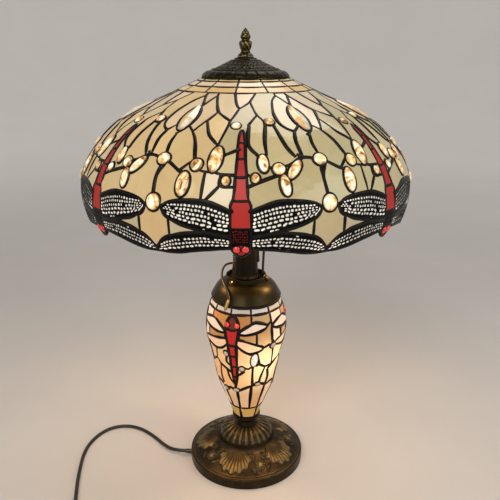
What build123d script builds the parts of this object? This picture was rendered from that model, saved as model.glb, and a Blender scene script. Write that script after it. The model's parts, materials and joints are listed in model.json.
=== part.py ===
from build123d import *
from math import atan2, cos, degrees, pi, radians, sin, tan
import os

os.makedirs("parts", exist_ok=True)

# Stained glass table lamp: a leaded dome shade over a lit, leaded vase on a cast foot.
# Millimetres, +Z up, origin at the centre of the foot's underside, front towards -Y.

# ---- driving dimensions ----
dragonflies = 7
sector = 360 / dragonflies
bricks_per_row = 2 * dragonflies
front_angle = -91.0  # direction of the front dragonfly, seen from above
vase_dragonflies = 3
vase_front_angle = -110.0
glass = 3.0
came_proud = 0.8  # leading stands this far off each face of the glass
clear = 0.3  # between bodies that move apart
fit = 0.1  # between pieces of one body

base_radius = 91.2
rim_height = 15.6
base_wall = 3.5
felt_thickness = 2.0
bead_ring_radius = 46.0
neck_radius = 14.5
base_top = 66.5
hub_bottom = 54.0

rod_radius = 4.9
rod_bore = rod_radius - 1.6
rod_hole = rod_radius + fit
rod_past_nut = 3.0
nut_across_flats = 17.0
nut_height = 6.0
washer_radius = 14.0
washer_thickness = 2.0

collar_radius = 30.4
collar_wall = 1.4
collar_top = 319.1
cap_bottom = 285.8
screw_angles = [-10, 110, 230]
screw_height = 315.0
screw_radius = 1.4
screw_head_radius = 2.7
screw_head_height = 4.2
spider_bottom = 307.0
spider_thickness = 3.0

sleeve_bottom = 315.0
sleeve_top = 420.0
sleeve_radius = 17.5
cluster_radius = 34.0
cluster_height = 42.0
socket_axis_height = 437.0
socket_tilt = 20.0
socket_radius = 17.0
socket_length = 46.0

shade_profile = [(58.7, 604.6), (99.8, 586.0), (138.8, 568.9), (177.7, 546.9),
                 (208.0, 515.5), (226.6, 477.8), (222.0, 425.9), (219.4, 418.6)]
vase_profile = [(19.4, 76.2), (27.6, 104.0), (42.5, 141.5), (49.7, 173.0), (55.2, 202.0),
                (60.4, 224.0), (61.3, 247.5), (57.6, 267.0), (51.6, 284.6)]
wheel_top = 600.0
wheel_thickness = 4.0
cap_seat = 605.4
cap_top = 630.2
riser_top = cap_top - 0.3
stud_radius = 3.1
stud_top = 645.0
finial_washer_thickness = 1.2
finial_bottom = cap_top + fit + finial_washer_thickness
finial_tip = 668.8

night_light_spot = (22.0, -6.0)

chain_spread = 17.0
chain_front = -46.0
pull_radius = 2.8
pull_length = 36.0

cord_diameter = 5.5
lead_diameter = 3.8
pull_cord_diameter = 3.4


# ---- helpers ----
def place_on(line, s, depth=0.0):
    """Point (r, z) at length s along a wall's outer line, depth mm in from its outer face."""
    spot = line.position_at(s, position_mode=PositionMode.LENGTH)
    along = line.tangent_at(s, position_mode=PositionMode.LENGTH)
    side = 1 if along.Y < 0 else -1  # a line that runs down has its outside on the left
    return (spot.X + along.Y * side * depth, spot.Y - along.X * side * depth)


def strip(line, s0, s1, outside=0.0, inside=glass, steps=6):
    """Closed outline of a wall between s0 and s1, from outside mm out to inside mm in."""
    stations = [s0 + (s1 - s0) * i / steps for i in range(steps + 1)]
    outer = [place_on(line, s, -outside) for s in stations]
    inner = [place_on(line, s, inside) for s in reversed(stations)]
    return outer + inner


def turned(outline, start=0.0, arc=360.0):
    """Solid turned about Z from an (r, z) outline, from the start angle over arc degrees."""
    turn = radians(start)
    upright = Plane((0, 0, 0), x_dir=(cos(turn), sin(turn), 0), z_dir=(sin(turn), -cos(turn), 0))
    with BuildPart() as shape:
        with BuildSketch(upright):
            with BuildLine():
                Polyline(*outline, close=True)
            make_face()
        revolve(axis=Axis.Z, revolution_arc=arc)
    return shape.part


def panes(line, s0, s1, spans, outside=0.0, inside=glass):
    """One pane of a wall between s0 and s1 for each (start, end) angle in spans."""
    outline = strip(line, s0, s1, outside, inside)
    return [turned(outline, start, end - start) for start, end in spans]


def repeated(spans, count, first):
    """The same spans in every sector, as angles seen from above."""
    turns = [first + 360 / count * i for i in range(count)]
    return [(turn + start, turn + end) for turn in turns for start, end in spans]


def wall_plane(line, s, angle):
    """Plane in the middle of a wall, facing out, with its local y pointing up the wall."""
    outer = place_on(line, s)
    inner = place_on(line, s, glass)
    turn = radians(angle)
    out_r = (outer[0] - inner[0]) / glass
    out_z = (outer[1] - inner[1]) / glass
    r = (outer[0] + inner[0]) / 2
    z = (outer[1] + inner[1]) / 2
    return Plane((r * cos(turn), r * sin(turn), z), x_dir=(-sin(turn), cos(turn), 0),
                 z_dir=(out_r * cos(turn), out_r * sin(turn), out_z))


def bend_radii(points):
    """The largest arc that each corner's two runs allow."""
    spots = [Vector(*p) for p in points]
    radii = []
    for before, corner, after in zip(spots, spots[1:], spots[2:]):
        turn = (corner - before).get_angle(after - corner)
        shorter = min((corner - before).length, (after - corner).length)
        radii.append(0.45 * shorter / tan(radians(turn / 2)))
    print("bend radii", [round(r, 1) for r in radii])
    return radii


def cord_tube(points, diameter):
    """Round cord along straight runs joined by tangent arcs."""
    with BuildPart() as shape:
        with BuildLine() as path:
            FilletPolyline(*points, radius=bend_radii(points))
        with BuildSketch(Plane(path.line @ 0, z_dir=path.line % 0)):
            Circle(diameter / 2)
        sweep(path=path.line)
    run = path.wire().length
    ratio = shape.part.volume / (run * pi * diameter ** 2 / 4)
    print("cord length", round(run, 1), "volume over section times length", round(ratio, 4))
    return shape.part


def finish(piece, label):
    piece.part.label = label
    export_step(piece.part, f"parts/{label}.step")


shade_line = Spline(*shade_profile)
vase_line = Spline(*vase_profile)

# ---- foot ----
cord_exit_angle = 172.0
cord_exit = Vector(-90.8, -8.0, 7.6)
exit_direction = Vector(cos(radians(cord_exit_angle)), sin(radians(cord_exit_angle)), 0)
exit_hole_radius = 4.6

with BuildPart() as base_foot:
    with BuildSketch(Plane.XZ):
        with BuildLine():
            edge_top = (base_radius - 4.5, rim_height + 0.4)
            bead_foot = (bead_ring_radius + 2, 35.0)
            Polyline((base_radius, 0), (base_radius, rim_height - 1.2), (base_radius - 1.2, rim_height), edge_top)
            Spline(edge_top, (66, 26.6), bead_foot)
            Polyline(bead_foot, (bead_ring_radius, 36.6), (43.2, 36.8), (42.6, 41.5))
            Spline((42.6, 41.5), (39.5, 50.5), (28, 58.2), (neck_radius, 61.5))
            Polyline((neck_radius, 61.5), (neck_radius, base_top), (rod_hole, base_top), (rod_hole, hub_bottom),
                     (20, hub_bottom), (34, 47), (39.5, 38), (44, 31.5), (64, 22.5), (84, 12.5),
                     (base_radius - base_wall, 10), (base_radius - base_wall, 0), (base_radius, 0))
        make_face()
    revolve(axis=Axis.Z)
    with BuildSketch(Plane(cord_exit, z_dir=exit_direction)):
        Circle(exit_hole_radius)
    extrude(amount=2 * base_wall, both=True, mode=Mode.SUBTRACT)
finish(base_foot, "base_foot")

with BuildPart() as base_felt:
    with BuildSketch():
        Circle(base_radius - base_wall - fit)
    extrude(amount=felt_thickness)
finish(base_felt, "base_felt")

with BuildPart() as base_washer:
    with BuildSketch(Plane.XY.offset(hub_bottom - washer_thickness)):
        Circle(washer_radius)
        Circle(rod_hole, mode=Mode.SUBTRACT)
    extrude(amount=washer_thickness)
finish(base_washer, "base_washer")

base_nut_bottom = hub_bottom - washer_thickness - nut_height
# ---- mains cord, its relief, its coil and its plug ----
relief_root = cord_exit - exit_direction * 13
relief_tip = cord_exit + exit_direction * 11
relief_flange = 2.5

with BuildPart() as cord_relief:
    with BuildSketch(Plane(relief_root, z_dir=exit_direction)):
        Circle(exit_hole_radius + 0.8)
    extrude(amount=relief_flange)
    with BuildSketch(Plane(relief_root + exit_direction * relief_flange, z_dir=exit_direction)):
        Circle(exit_hole_radius - fit)
    with BuildSketch(Plane(relief_tip, z_dir=exit_direction)):
        Circle(cord_diameter / 2 + 0.6)
    loft()
finish(cord_relief, "cord_relief")

floor = cord_diameter / 2 + 0.05
cord_route = [
    (relief_tip.X, relief_tip.Y, relief_tip.Z),
    (-122.5, -3.5, 6.6),
    (-141.0, 16.0, 3.5),
    (-161.0, 40.0, floor),
    (-184.0, 60.5, floor),
    (-211.0, 71.5, floor),
    (-238.5, 66.0, floor),
    (-257.0, 46.5, floor),
    (-267.5, 20.0, floor),
    (-270.5, -7.0, floor),
    (-267.5, -40.0, floor),
    (-263.0, -73.0, floor),
    (-256.5, -106.0, floor),
    (-249.3, -139.5, floor),
    (-243.8, -171.0, floor),
]
with BuildPart() as mains_cord:
    add(cord_tube(cord_route, cord_diameter))
finish(mains_cord, "mains_cord")

# Four turns lie side by side on the table and three more sit on them.
coil_centre = Vector(-203, -177, 0)
coil_inner = 20.0
coil_outer = coil_inner + 4 * cord_diameter
coil_height = 10.6
coil_shoulder = 3.0
with BuildPart() as mains_cord_coil:
    with BuildSketch(Plane.XZ.offset(-coil_centre.Y)):
        with BuildLine():
            inner_x = coil_centre.X + coil_inner
            outer_x = coil_centre.X + coil_outer
            Polyline((inner_x, 0.05), (outer_x, 0.05), (outer_x, cord_diameter),
                     (outer_x - coil_shoulder, coil_height), (inner_x + coil_shoulder, coil_height),
                     (inner_x, cord_diameter), close=True)
        make_face()
    revolve(axis=Axis(coil_centre, (0, 0, 1)))
finish(mains_cord_coil, "mains_cord_coil")

plug_thickness = 16.0
plug_width = 25.0
plug_length = 31.0
plug_relief = 18.0
plug_centre = Vector(-139.0, -213.5, plug_thickness / 2)
plug_back = plug_centre.X - plug_length / 2
tail_route = [
    (-189.0, -212.4, 7.8),
    (-177.0, -214.0, 7.9),
    (plug_back - plug_relief, plug_centre.Y, plug_centre.Z),
]
with BuildPart() as mains_cord_tail:
    add(cord_tube(tail_route, cord_diameter))
finish(mains_cord_tail, "mains_cord_tail")

with BuildPart() as plug_body:
    with BuildSketch(Plane(plug_centre)):
        RectangleRounded(plug_length, plug_width, 4)
    extrude(amount=plug_thickness / 2 - 0.05, both=True)
    with BuildSketch(Plane((plug_back, plug_centre.Y, plug_centre.Z), z_dir=(-1, 0, 0))):
        Circle(6)
    with BuildSketch(Plane((plug_back - plug_relief, plug_centre.Y, plug_centre.Z), z_dir=(-1, 0, 0))):
        Circle(cord_diameter / 2 + 0.5)
    loft()
finish(plug_body, "plug_body")

blade_spacing = 12.7
blade_width = 6.35
blade_thickness = 1.5
blade_length = 17.5
plug_face = Plane((plug_centre.X + plug_length / 2, plug_centre.Y, plug_centre.Z), x_dir=(0, 1, 0), z_dir=(1, 0, 0))
with BuildPart() as plug_blades:
    with BuildSketch(plug_face):
        with GridLocations(blade_spacing, 0, 2, 1):
            Rectangle(blade_thickness, blade_width)
    extrude(amount=blade_length)
finish(plug_blades, "plug_blades")

# ---- rod and vase seat ----
rod_bottom = base_nut_bottom - rod_past_nut
rod_joint = sleeve_top + 20
with BuildPart() as centre_rod:
    with BuildSketch(Plane.XY.offset(rod_bottom)):
        Circle(rod_radius)
        Circle(rod_bore, mode=Mode.SUBTRACT)
    extrude(amount=rod_joint - rod_bottom)
finish(centre_rod, "centre_rod")

seat_floor = base_top + 9.4
seat_lip = 79.6
with BuildPart() as vase_seat:
    add(turned([(rod_hole, base_top), (neck_radius, base_top), (15.6, base_top + 2.4), (19.8, seat_floor - 2.0),
                (22.3, seat_floor), (22.3, seat_lip), (21.2, seat_lip), (21.2, seat_floor), (rod_hole, seat_floor)]))
finish(vase_seat, "vase_seat")

# ---- leaded vase ----
vase_length = vase_line.length
vase_rows = {"bottom": (4.2, 25.8), "lower": (29.0, 69.0), "field": (72.0, 189.0), "amber": (192.0, 203.6),
             "top": (206.0, vase_length - 1.3)}
vase_joint = 1.5  # half the angle of a lead line between two panes
vase_top_count = 12
vase_spans = {
    "bottom": repeated([(vase_joint, 60 - vase_joint)], 6, vase_front_angle),
    "lower": repeated([(vase_joint, 30 - vase_joint)], 12, vase_front_angle),
    "field": repeated([(9.8, 60 - vase_joint), (60 + vase_joint, 110.2)], vase_dragonflies, vase_front_angle),
    "amber": repeated([(vase_joint, 30 - vase_joint)], vase_top_count, vase_front_angle),
    "top": repeated([(vase_joint, 30 - vase_joint)], vase_top_count, vase_front_angle),
}
vase_nodes = {"vase_bottom_row": ["bottom"], "vase_lower_panels": ["lower"],
              "vase_field_panels": ["field", "amber"], "vase_top_row": ["top"]}
for label, rows in vase_nodes.items():
    with BuildPart() as vase_glass:
        for row in rows:
            add(panes(vase_line, *vase_rows[row], vase_spans[row]))
    finish(vase_glass, label)

vase_body_parts = [(80.0, 96.5, 4.4), (98.5, 115.5, 5.0), (117.5, 135.5, 5.4), (137.5, 155.5, 5.6),
                   (157.5, 174.0, 8.2), (175.5, 188.8, 8.4)]
with BuildPart() as vase_dragonfly_bodies:
    for low, high, half in vase_body_parts:
        add(panes(vase_line, low, high, repeated([(-half, half)], vase_dragonflies, vase_front_angle)))
finish(vase_dragonfly_bodies, "vase_dragonfly_bodies")

# The lead lines fill what the panes leave of the wall, and stand proud of the glass on both faces.
vase_hoops = [(0.4, 4.0), (26.0, 28.8), (69.2, 71.8), (189.2, 191.8), (203.8, 205.8), (vase_length - 1.1, vase_length)]
with BuildPart() as vase_leading:
    add([turned(strip(vase_line, low, high, came_proud, glass + came_proud)) for low, high in vase_hoops])
    lead_width = vase_joint - fit
    for row, count in (("bottom", 6), ("lower", 12), ("amber", 12), ("top", 12)):
        low, high = vase_rows[row]
        spans = repeated([(-lead_width, lead_width)], count, vase_front_angle)
        add(panes(vase_line, low - 0.5, high + 0.5, spans, came_proud, glass + came_proud))
    low, high = vase_rows["field"]
    field_leads = repeated([(-9.7, -8.8), (8.8, 9.7), (60 - lead_width, 60 + lead_width)],
                           vase_dragonflies, vase_front_angle)
    add(panes(vase_line, low - 0.5, high + 0.5, field_leads, came_proud, glass + came_proud))
finish(vase_leading, "vase_leading")

# ---- vase cap, its spider and the night light under it ----
collar_hole = collar_radius - collar_wall
with BuildPart() as vase_cap:
    with BuildSketch(Plane.XZ):
        with BuildLine():
            Polyline((52.6, cap_bottom), (53.2, 288.2))
            Spline((53.2, 288.2), (50.5, 293.2), (45.2, 302.4), (36.6, 310.2), (collar_radius, 312.4))
            Polyline((collar_radius, 312.4), (collar_radius, collar_top), (collar_hole, collar_top),
                     (collar_hole, 310.8))
            Spline((collar_hole, 310.8), (35.8, 308.8), (44.0, 301.4), (49.2, 292.6), (51.6, 288.2))
            Polyline((51.6, 288.2), (51.2, cap_bottom), (52.6, cap_bottom))
        make_face()
    revolve(axis=Axis.Z)
    for angle in screw_angles:
        turn = radians(angle)
        with BuildSketch(Plane((0, 0, screw_height), z_dir=(cos(turn), sin(turn), 0))):
            Circle(screw_radius + fit)
        extrude(amount=collar_radius + 4, mode=Mode.SUBTRACT)
finish(vase_cap, "vase_cap")

tab_thickness = 1.6
tab_width = 7.0
tab_outside = collar_hole - fit
spider_hub = 9.0
with BuildPart() as cap_spider:
    with BuildSketch(Plane.XY.offset(spider_bottom)):
        Circle(spider_hub)
        for angle in screw_angles:
            with Locations(Rot(0, 0, angle) * Pos(tab_outside / 2, 0)):
                Rectangle(tab_outside - 1.0, tab_width)
        Circle(rod_hole, mode=Mode.SUBTRACT)
    extrude(amount=spider_thickness)
    for angle in screw_angles:
        with BuildSketch(Plane.XY.offset(spider_bottom)):
            with Locations(Rot(0, 0, angle) * Pos(tab_outside - 0.5 - tab_thickness / 2, 0)):
                Rectangle(tab_thickness, tab_width)
        extrude(amount=screw_height + 2.6 - spider_bottom)
finish(cap_spider, "cap_spider")

with BuildPart() as collar_screws:
    for angle in screw_angles:
        turn = radians(angle)
        outwards = Vector(cos(turn), sin(turn), 0)
        middle = Vector(0, 0, screw_height)
        with BuildSketch(Plane(middle + outwards * (tab_outside - 0.4), z_dir=outwards)):
            Circle(screw_radius)
        extrude(amount=collar_radius + 1.2 - tab_outside)
        with BuildSketch(Plane(middle + outwards * (collar_radius + 0.6), z_dir=outwards)):
            Circle(screw_head_radius)
        extrude(amount=screw_head_height)
finish(collar_screws, "collar_screws")

bracket_thickness = 2.0
bracket_width = 9.0
bracket_bottom = spider_bottom - bracket_thickness
bracket_reach = Vector(*night_light_spot)
with BuildPart() as night_light_bracket:
    with BuildSketch(Plane.XY.offset(bracket_bottom)):
        Circle(spider_hub)
        with Locations(bracket_reach):
            Circle(6.5)
        with Locations(bracket_reach / 2):
            Rectangle(bracket_reach.length, bracket_width, rotation=degrees(atan2(bracket_reach.Y, bracket_reach.X)))
        Circle(rod_hole, mode=Mode.SUBTRACT)
    extrude(amount=bracket_thickness)
finish(night_light_bracket, "night_light_bracket")


def turned_at(spot, outline):
    """Solid turned about the upright line through a spot on the plan."""
    with BuildPart() as shape:
        add(turned(outline).moved(Pos(spot[0], spot[1], 0)))
    return shape.part


socket_bottom = 258.0
candle_socket = (9.2, 11.5)  # inner and outer radius
candle_socket_roof = bracket_bottom - 12.0
with BuildPart() as night_light_socket:
    add(turned_at(night_light_spot, [(0, bracket_bottom), (candle_socket[1], bracket_bottom),
                                     (candle_socket[1], socket_bottom), (candle_socket[0], socket_bottom),
                                     (candle_socket[0], candle_socket_roof), (0, candle_socket_roof)]))
finish(night_light_socket, "night_light_socket")

candle_outline = [(7.0, 261.9), (8.4, 255.0), (14.2, 232.0), (17.5, 208.0), (15.6, 186.0), (9.5, 169.0), (0, 158.0)]
with BuildPart() as night_light_bulb:
    inner_outline = [(max(r - 1.0, 0), z + 0.6 if r < 10 and z < 200 else z) for r, z in reversed(candle_outline)]
    add(turned_at(night_light_spot, candle_outline + inner_outline))
finish(night_light_bulb, "night_light_bulb")

# ---- neck ----
with BuildPart() as neck_spacer:
    with BuildSketch(Plane.XY.offset(spider_bottom + spider_thickness)):
        Circle(spider_hub - 1.0)
        Circle(rod_hole, mode=Mode.SUBTRACT)
    extrude(amount=sleeve_bottom - spider_bottom - spider_thickness)
finish(neck_spacer, "neck_spacer")

eyelet_height = 337.0
eyelet_angle = 185.0
eyelet_direction = Vector(cos(radians(eyelet_angle)), sin(radians(eyelet_angle)), 0)
eyelet_radius = 2.8
eyelet_root = 14.6
sleeve_wall = 1.5
with BuildPart() as neck_sleeve:
    add(turned([(rod_hole, sleeve_bottom), (20.5, sleeve_bottom), (20.5, 317.4), (19.0, 321.0), (17.9, 329.0),
                (sleeve_radius, 340.0), (sleeve_radius, sleeve_top), (sleeve_radius - sleeve_wall, sleeve_top),
                (sleeve_radius - sleeve_wall, 340.0), (16.4, 329.0), (17.4, 321.0), (18.6, 317.0),
                (rod_hole, 317.0)]))
    with BuildSketch(Plane((0, 0, eyelet_height), z_dir=eyelet_direction)):
        Circle(eyelet_radius + fit)
    extrude(amount=sleeve_radius + 2, mode=Mode.SUBTRACT)
finish(neck_sleeve, "neck_sleeve")

eyelet_reach = sleeve_radius + 2.6
with BuildPart() as pull_cord_eyelet:
    with BuildSketch(Plane(eyelet_direction * eyelet_root + Vector(0, 0, eyelet_height), z_dir=eyelet_direction)):
        Circle(eyelet_radius)
    extrude(amount=eyelet_reach - eyelet_root)
    with BuildSketch(Plane(eyelet_direction * (sleeve_radius + 0.6) + Vector(0, 0, eyelet_height),
                           z_dir=eyelet_direction)):
        Circle(eyelet_radius + 1.0)
    extrude(amount=1.6)
finish(pull_cord_eyelet, "pull_cord_eyelet")

pull_start = eyelet_direction * eyelet_reach + Vector(0, 0, eyelet_height)
pull_route = [
    (pull_start.X, pull_start.Y, pull_start.Z),
    (-28.4, -2.9, 336.7),
    (-34.0, -5.8, 331.6),
    (-36.4, -10.6, 323.8),
    (-35.2, -17.4, 317.0),
    (-32.2, -25.8, 312.9),
    (-28.8, -34.4, 309.0),
    (-26.0, -42.0, 303.6),
    (-24.6, -48.4, 296.6),
]
with BuildPart() as night_light_pull_cord:
    add(cord_tube(pull_route, pull_cord_diameter))
finish(night_light_pull_cord, "night_light_pull_cord")

pull_end = Vector(*pull_route[-1])
pull_aim = Vector(-5.6, -4.6, -13.6).normalized()
bell_radius = 2.6
bell_stations = [(0.0, 1.9), (4.0, bell_radius), (13.0, bell_radius), (16.5, 1.1)]
with BuildPart() as night_light_pull:
    for (near, near_radius), (far, far_radius) in zip(bell_stations, bell_stations[1:]):
        with BuildSketch(Plane(pull_end + pull_aim * near, z_dir=pull_aim)):
            Circle(near_radius)
        with BuildSketch(Plane(pull_end + pull_aim * far, z_dir=pull_aim)):
            Circle(far_radius)
        loft()
finish(night_light_pull, "night_light_pull")

lead_route = [
    (28.2, 8.0, sleeve_top),
    (27.9, 8.4, 384.0),
    (26.8, 8.2, 350.0),
    (25.4, 5.8, 325.0),
    (25.0, 3.4, bracket_bottom),
]
with BuildPart() as night_light_lead:
    add(cord_tube(lead_route, lead_diameter))
finish(night_light_lead, "night_light_lead")

# ---- cluster, sockets and bulbs ----
cluster_top = sleeve_top + cluster_height
shell = 2.0
nozzle_height = 436.0
nozzle_radius = 3.2
tilt = radians(socket_tilt)
socket_axes = {"left": Vector(-cos(tilt), 0, sin(tilt)), "right": Vector(cos(tilt), 0, sin(tilt))}
socket_root = Vector(0, 0, socket_axis_height)
arm_radius = 6.0
chain_sides = {"left": -chain_spread, "right": chain_spread}

with BuildPart() as cluster_body:
    add(turned([(rod_hole, sleeve_top), (20, sleeve_top), (30, sleeve_top + 3), (cluster_radius, sleeve_top + 11),
                (cluster_radius, cluster_top - 4), (cluster_radius - shell, cluster_top - 4),
                (cluster_radius - shell, sleeve_top + 11.8), (29, sleeve_top + 5), (19.6, sleeve_top + shell),
                (rod_hole, sleeve_top + shell)]))
    for axis in socket_axes.values():
        with BuildSketch(Plane(socket_root, z_dir=axis)):
            Circle(arm_radius + fit)
        extrude(amount=cluster_radius + 12, mode=Mode.SUBTRACT)
    for x in chain_sides.values():
        with BuildSketch(Plane((x, 0, nozzle_height), z_dir=(0, -1, 0))):
            Circle(nozzle_radius + fit)
        extrude(amount=cluster_radius + 2, mode=Mode.SUBTRACT)
    with BuildSketch(Plane.XY.offset(sleeve_top - 1)):
        with Locations((lead_route[0][0], lead_route[0][1])):
            Circle(lead_diameter / 2 + fit)
    extrude(amount=8, mode=Mode.SUBTRACT)
finish(cluster_body, "cluster_body")

with BuildPart() as cluster_cap:
    add(turned([(rod_hole, cluster_top - 3.9), (cluster_radius, cluster_top - 3.9), (cluster_radius, cluster_top - 1.5),
                (26, cluster_top), (rod_hole, cluster_top)]))
finish(cluster_cap, "cluster_cap")

coupling_length = 26.0
with BuildPart() as rod_coupling:
    with BuildSketch(Plane.XY.offset(rod_joint - coupling_length / 2)):
        RegularPolygon(8, 6, major_radius=False)
        Circle(rod_hole, mode=Mode.SUBTRACT)
    extrude(amount=coupling_length)
finish(rod_coupling, "rod_coupling")

arm_start = 26.0
socket_start = 44.0
socket_floor = socket_start + 4.0
bulb_neck = socket_start + socket_length - 2
bulb_length = 84.0
bulb_base_radius = 12.9
candle_base_radius = 7.4
candle_neck = 262.0


def along_socket(axis, outline):
    """Solid turned about a socket's axis from an outline of (distance along it, radius)."""
    with BuildPart() as shape:
        across = Vector(0, 1, 0)
        with BuildSketch(Plane(socket_root, x_dir=axis, z_dir=axis.cross(across))):
            with BuildLine():
                Polyline(*outline, close=True)
            make_face()
        revolve(axis=Axis(socket_root, axis))
    return shape.part


with BuildPart() as socket_arms:
    for axis in socket_axes.values():
        add(along_socket(axis, [(arm_start, 3.5), (socket_start, 3.5), (socket_start, arm_radius),
                                (arm_start, arm_radius)]))
finish(socket_arms, "socket_arms")

socket_end = socket_start + socket_length
with BuildPart() as sockets:
    for axis in socket_axes.values():
        add(along_socket(axis, [(socket_start, 0), (socket_start, 11), (socket_start + 6, socket_radius),
                                (socket_end, socket_radius), (socket_end, socket_radius - 1.5),
                                (socket_floor + 4, socket_radius - 1.5), (socket_floor, 10), (socket_floor, 0)]))
finish(sockets, "sockets")

with BuildPart() as bulbs:
    for axis in socket_axes.values():
        add(along_socket(axis, [(bulb_neck, 12.6), (bulb_neck + 10, 14.5), (bulb_neck + 28, 22), (bulb_neck + 42, 28),
                                (bulb_neck + 54, 30), (bulb_neck + 68, 26.5), (bulb_neck + 79, 16),
                                (bulb_neck + bulb_length, 0), (bulb_neck + bulb_length - 1.2, 0),
                                (bulb_neck + 78, 15.2), (bulb_neck + 67.4, 25.5), (bulb_neck + 54, 28.9),
                                (bulb_neck + 42.3, 27), (bulb_neck + 28.5, 21), (bulb_neck + 10, 13.4),
                                (bulb_neck, 11.5)]))
finish(bulbs, "bulbs")

with BuildPart() as bulb_screw_bases:
    for axis in socket_axes.values():
        add(along_socket(axis, [(socket_floor + 14, 0), (socket_floor + 15, 6), (socket_floor + 18, bulb_base_radius),
                                (bulb_neck - fit, bulb_base_radius), (bulb_neck - fit, 0)]))
    add(turned_at(night_light_spot, [(0, candle_socket_roof - 1), (candle_base_radius, candle_socket_roof - 4),
                                     (candle_base_radius, candle_neck), (0, candle_neck)]))
finish(bulb_screw_bases, "bulb_screw_bases")

# ---- chain switches and their pulls ----
nozzle_drop = 6.0
nozzle_inside = cluster_radius * 0.8
with BuildPart() as chain_nozzles:
    for x in chain_sides.values():
        with BuildSketch(Plane((x, -nozzle_inside, nozzle_height), z_dir=(0, -1, 0))):
            Circle(nozzle_radius)
        extrude(amount=-chain_front - nozzle_inside)
        with BuildSketch(Plane.XY.offset(nozzle_height + nozzle_radius)):
            with Locations((x, chain_front)):
                Circle(nozzle_radius + 0.4)
        extrude(amount=-nozzle_radius - nozzle_drop)
        with BuildSketch(Plane.XY.offset(nozzle_height)):
            with Locations((x, chain_front)):
                Circle(2.0)
        extrude(amount=-nozzle_drop, mode=Mode.SUBTRACT)
finish(chain_nozzles, "chain_nozzles")

pull_bottoms = {"left": 317.0, "right": 354.0}
chain_radius = 1.5
chain_top = nozzle_height - 1.5
for side, x in chain_sides.items():
    pull_bottom = pull_bottoms[side]
    pull_top = pull_bottom + pull_length
    with BuildPart() as pull_chain:
        add(turned_at((x, chain_front), [(0, pull_bottom), (1.6, pull_bottom + 0.4), (pull_radius, pull_bottom + 2.4),
                                         (pull_radius, pull_top - 4), (chain_radius, pull_top),
                                         (chain_radius, chain_top), (0, chain_top)]))
    finish(pull_chain, f"{side}_pull_chain")

# ---- riser, wheel under the shade, heat cap and finial ----
riser_bottom = rod_joint + 0.5
with BuildPart() as riser_rod:
    with BuildSketch(Plane.XY.offset(riser_bottom)):
        Circle(rod_radius)
        Circle(rod_bore, mode=Mode.SUBTRACT)
    extrude(amount=riser_top - riser_bottom)
finish(riser_rod, "riser_rod")

stud_depth = 14.0
with BuildPart() as finial_stud:
    with BuildSketch(Plane.XY.offset(riser_top - stud_depth)):
        Circle(stud_radius)
    extrude(amount=stud_top - riser_top + stud_depth)
finish(finial_stud, "finial_stud")

wheel_rim = (50.0, 56.0)
wheel_hub = 10.0
spokes = 4
spoke_width = 6.0
wheel_bottom = wheel_top - wheel_thickness
with BuildPart() as shade_wheel:
    with BuildSketch(Plane.XY.offset(wheel_bottom)):
        Circle(wheel_rim[1])
        Circle(wheel_rim[0], mode=Mode.SUBTRACT)
        Circle(wheel_hub)
        with PolarLocations(wheel_rim[0] / 2 + 4, spokes, start_angle=45):
            Rectangle(wheel_rim[0] - 6, spoke_width)
        Circle(rod_hole, mode=Mode.SUBTRACT)
    extrude(amount=wheel_thickness)
finish(shade_wheel, "shade_wheel")

# The same nut holds the foot, the cap spider, the cluster and the shade wheel.
nut_bottoms = [base_nut_bottom, bracket_bottom - nut_height, cluster_top, wheel_bottom - nut_height]
with BuildPart() as rod_nuts:
    for bottom in nut_bottoms:
        with BuildSketch(Plane.XY.offset(bottom)):
            RegularPolygon(nut_across_flats / 2, 6, major_radius=False)
            Circle(rod_hole, mode=Mode.SUBTRACT)
        extrude(amount=nut_height)
finish(rod_nuts, "rod_nuts")

loose_hole = rod_radius + clear
stud_hole = stud_radius + clear
cap_wall = 1.4
cap_flange = cap_seat + 1.2
cap_outer = [(60.0, cap_seat), (60.0, cap_flange), (56.0, 611.5), (53.0, 613.3), (47.5, 614.2), (45.0, 615.4),
             (12.0, cap_top), (loose_hole, cap_top)]
cap_inner = [(loose_hole, cap_top - cap_wall), (11.6, cap_top - cap_wall), (44.4, 614.0), (47.2, 612.8),
             (52.4, 611.9), (54.8, 610.6), (57.6, cap_flange), (54.0, cap_flange), (54.0, cap_seat)]
vent_rings = [(35.0, 3.8, 0.0), (23.0, 2.6, 15.0)]  # ring radius, hole radius, first angle
vents_per_ring = 12
with BuildPart() as heat_cap:
    add(turned(cap_outer + cap_inner))
    with BuildSketch(Plane.XY.offset(cap_seat)):
        for ring_radius, hole_radius, first in vent_rings:
            with PolarLocations(ring_radius, vents_per_ring, start_angle=first):
                Circle(hole_radius)
    extrude(amount=cap_top - cap_seat + 1, mode=Mode.SUBTRACT)
finish(heat_cap, "heat_cap")

with BuildPart() as finial_washer:
    with BuildSketch(Plane.XY.offset(cap_top + fit)):
        Circle(11.5)
        Circle(stud_hole, mode=Mode.SUBTRACT)
    extrude(amount=finial_washer_thickness)
finish(finial_washer, "finial_washer")

finial_hole_top = stud_top + 1.5
with BuildPart() as finial:
    add(turned([(stud_hole, finial_bottom + clear), (10.8, finial_bottom + clear), (10.4, 633.6), (8.0, 636.0),
                (6.4, 639.0), (7.4, 642.0), (8.95, 647.0), (7.8, 651.0), (5.6, 653.6), (6.9, 655.2), (7.1, 656.7),
                (5.6, 661.0), (2.6, 666.0), (0, finial_tip), (0, finial_hole_top), (stud_hole, finial_hole_top)]))
finish(finial, "finial")

# ---- leaded shade ----
ring_bottom = wheel_top + clear + fit
with BuildPart() as shade_top_ring:
    with BuildSketch(Plane.XY.offset(ring_bottom)):
        Circle(57.0)
        Circle(53.5, mode=Mode.SUBTRACT)
    extrude(amount=cap_seat - ring_bottom)
finish(shade_top_ring, "shade_top_ring")

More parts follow.
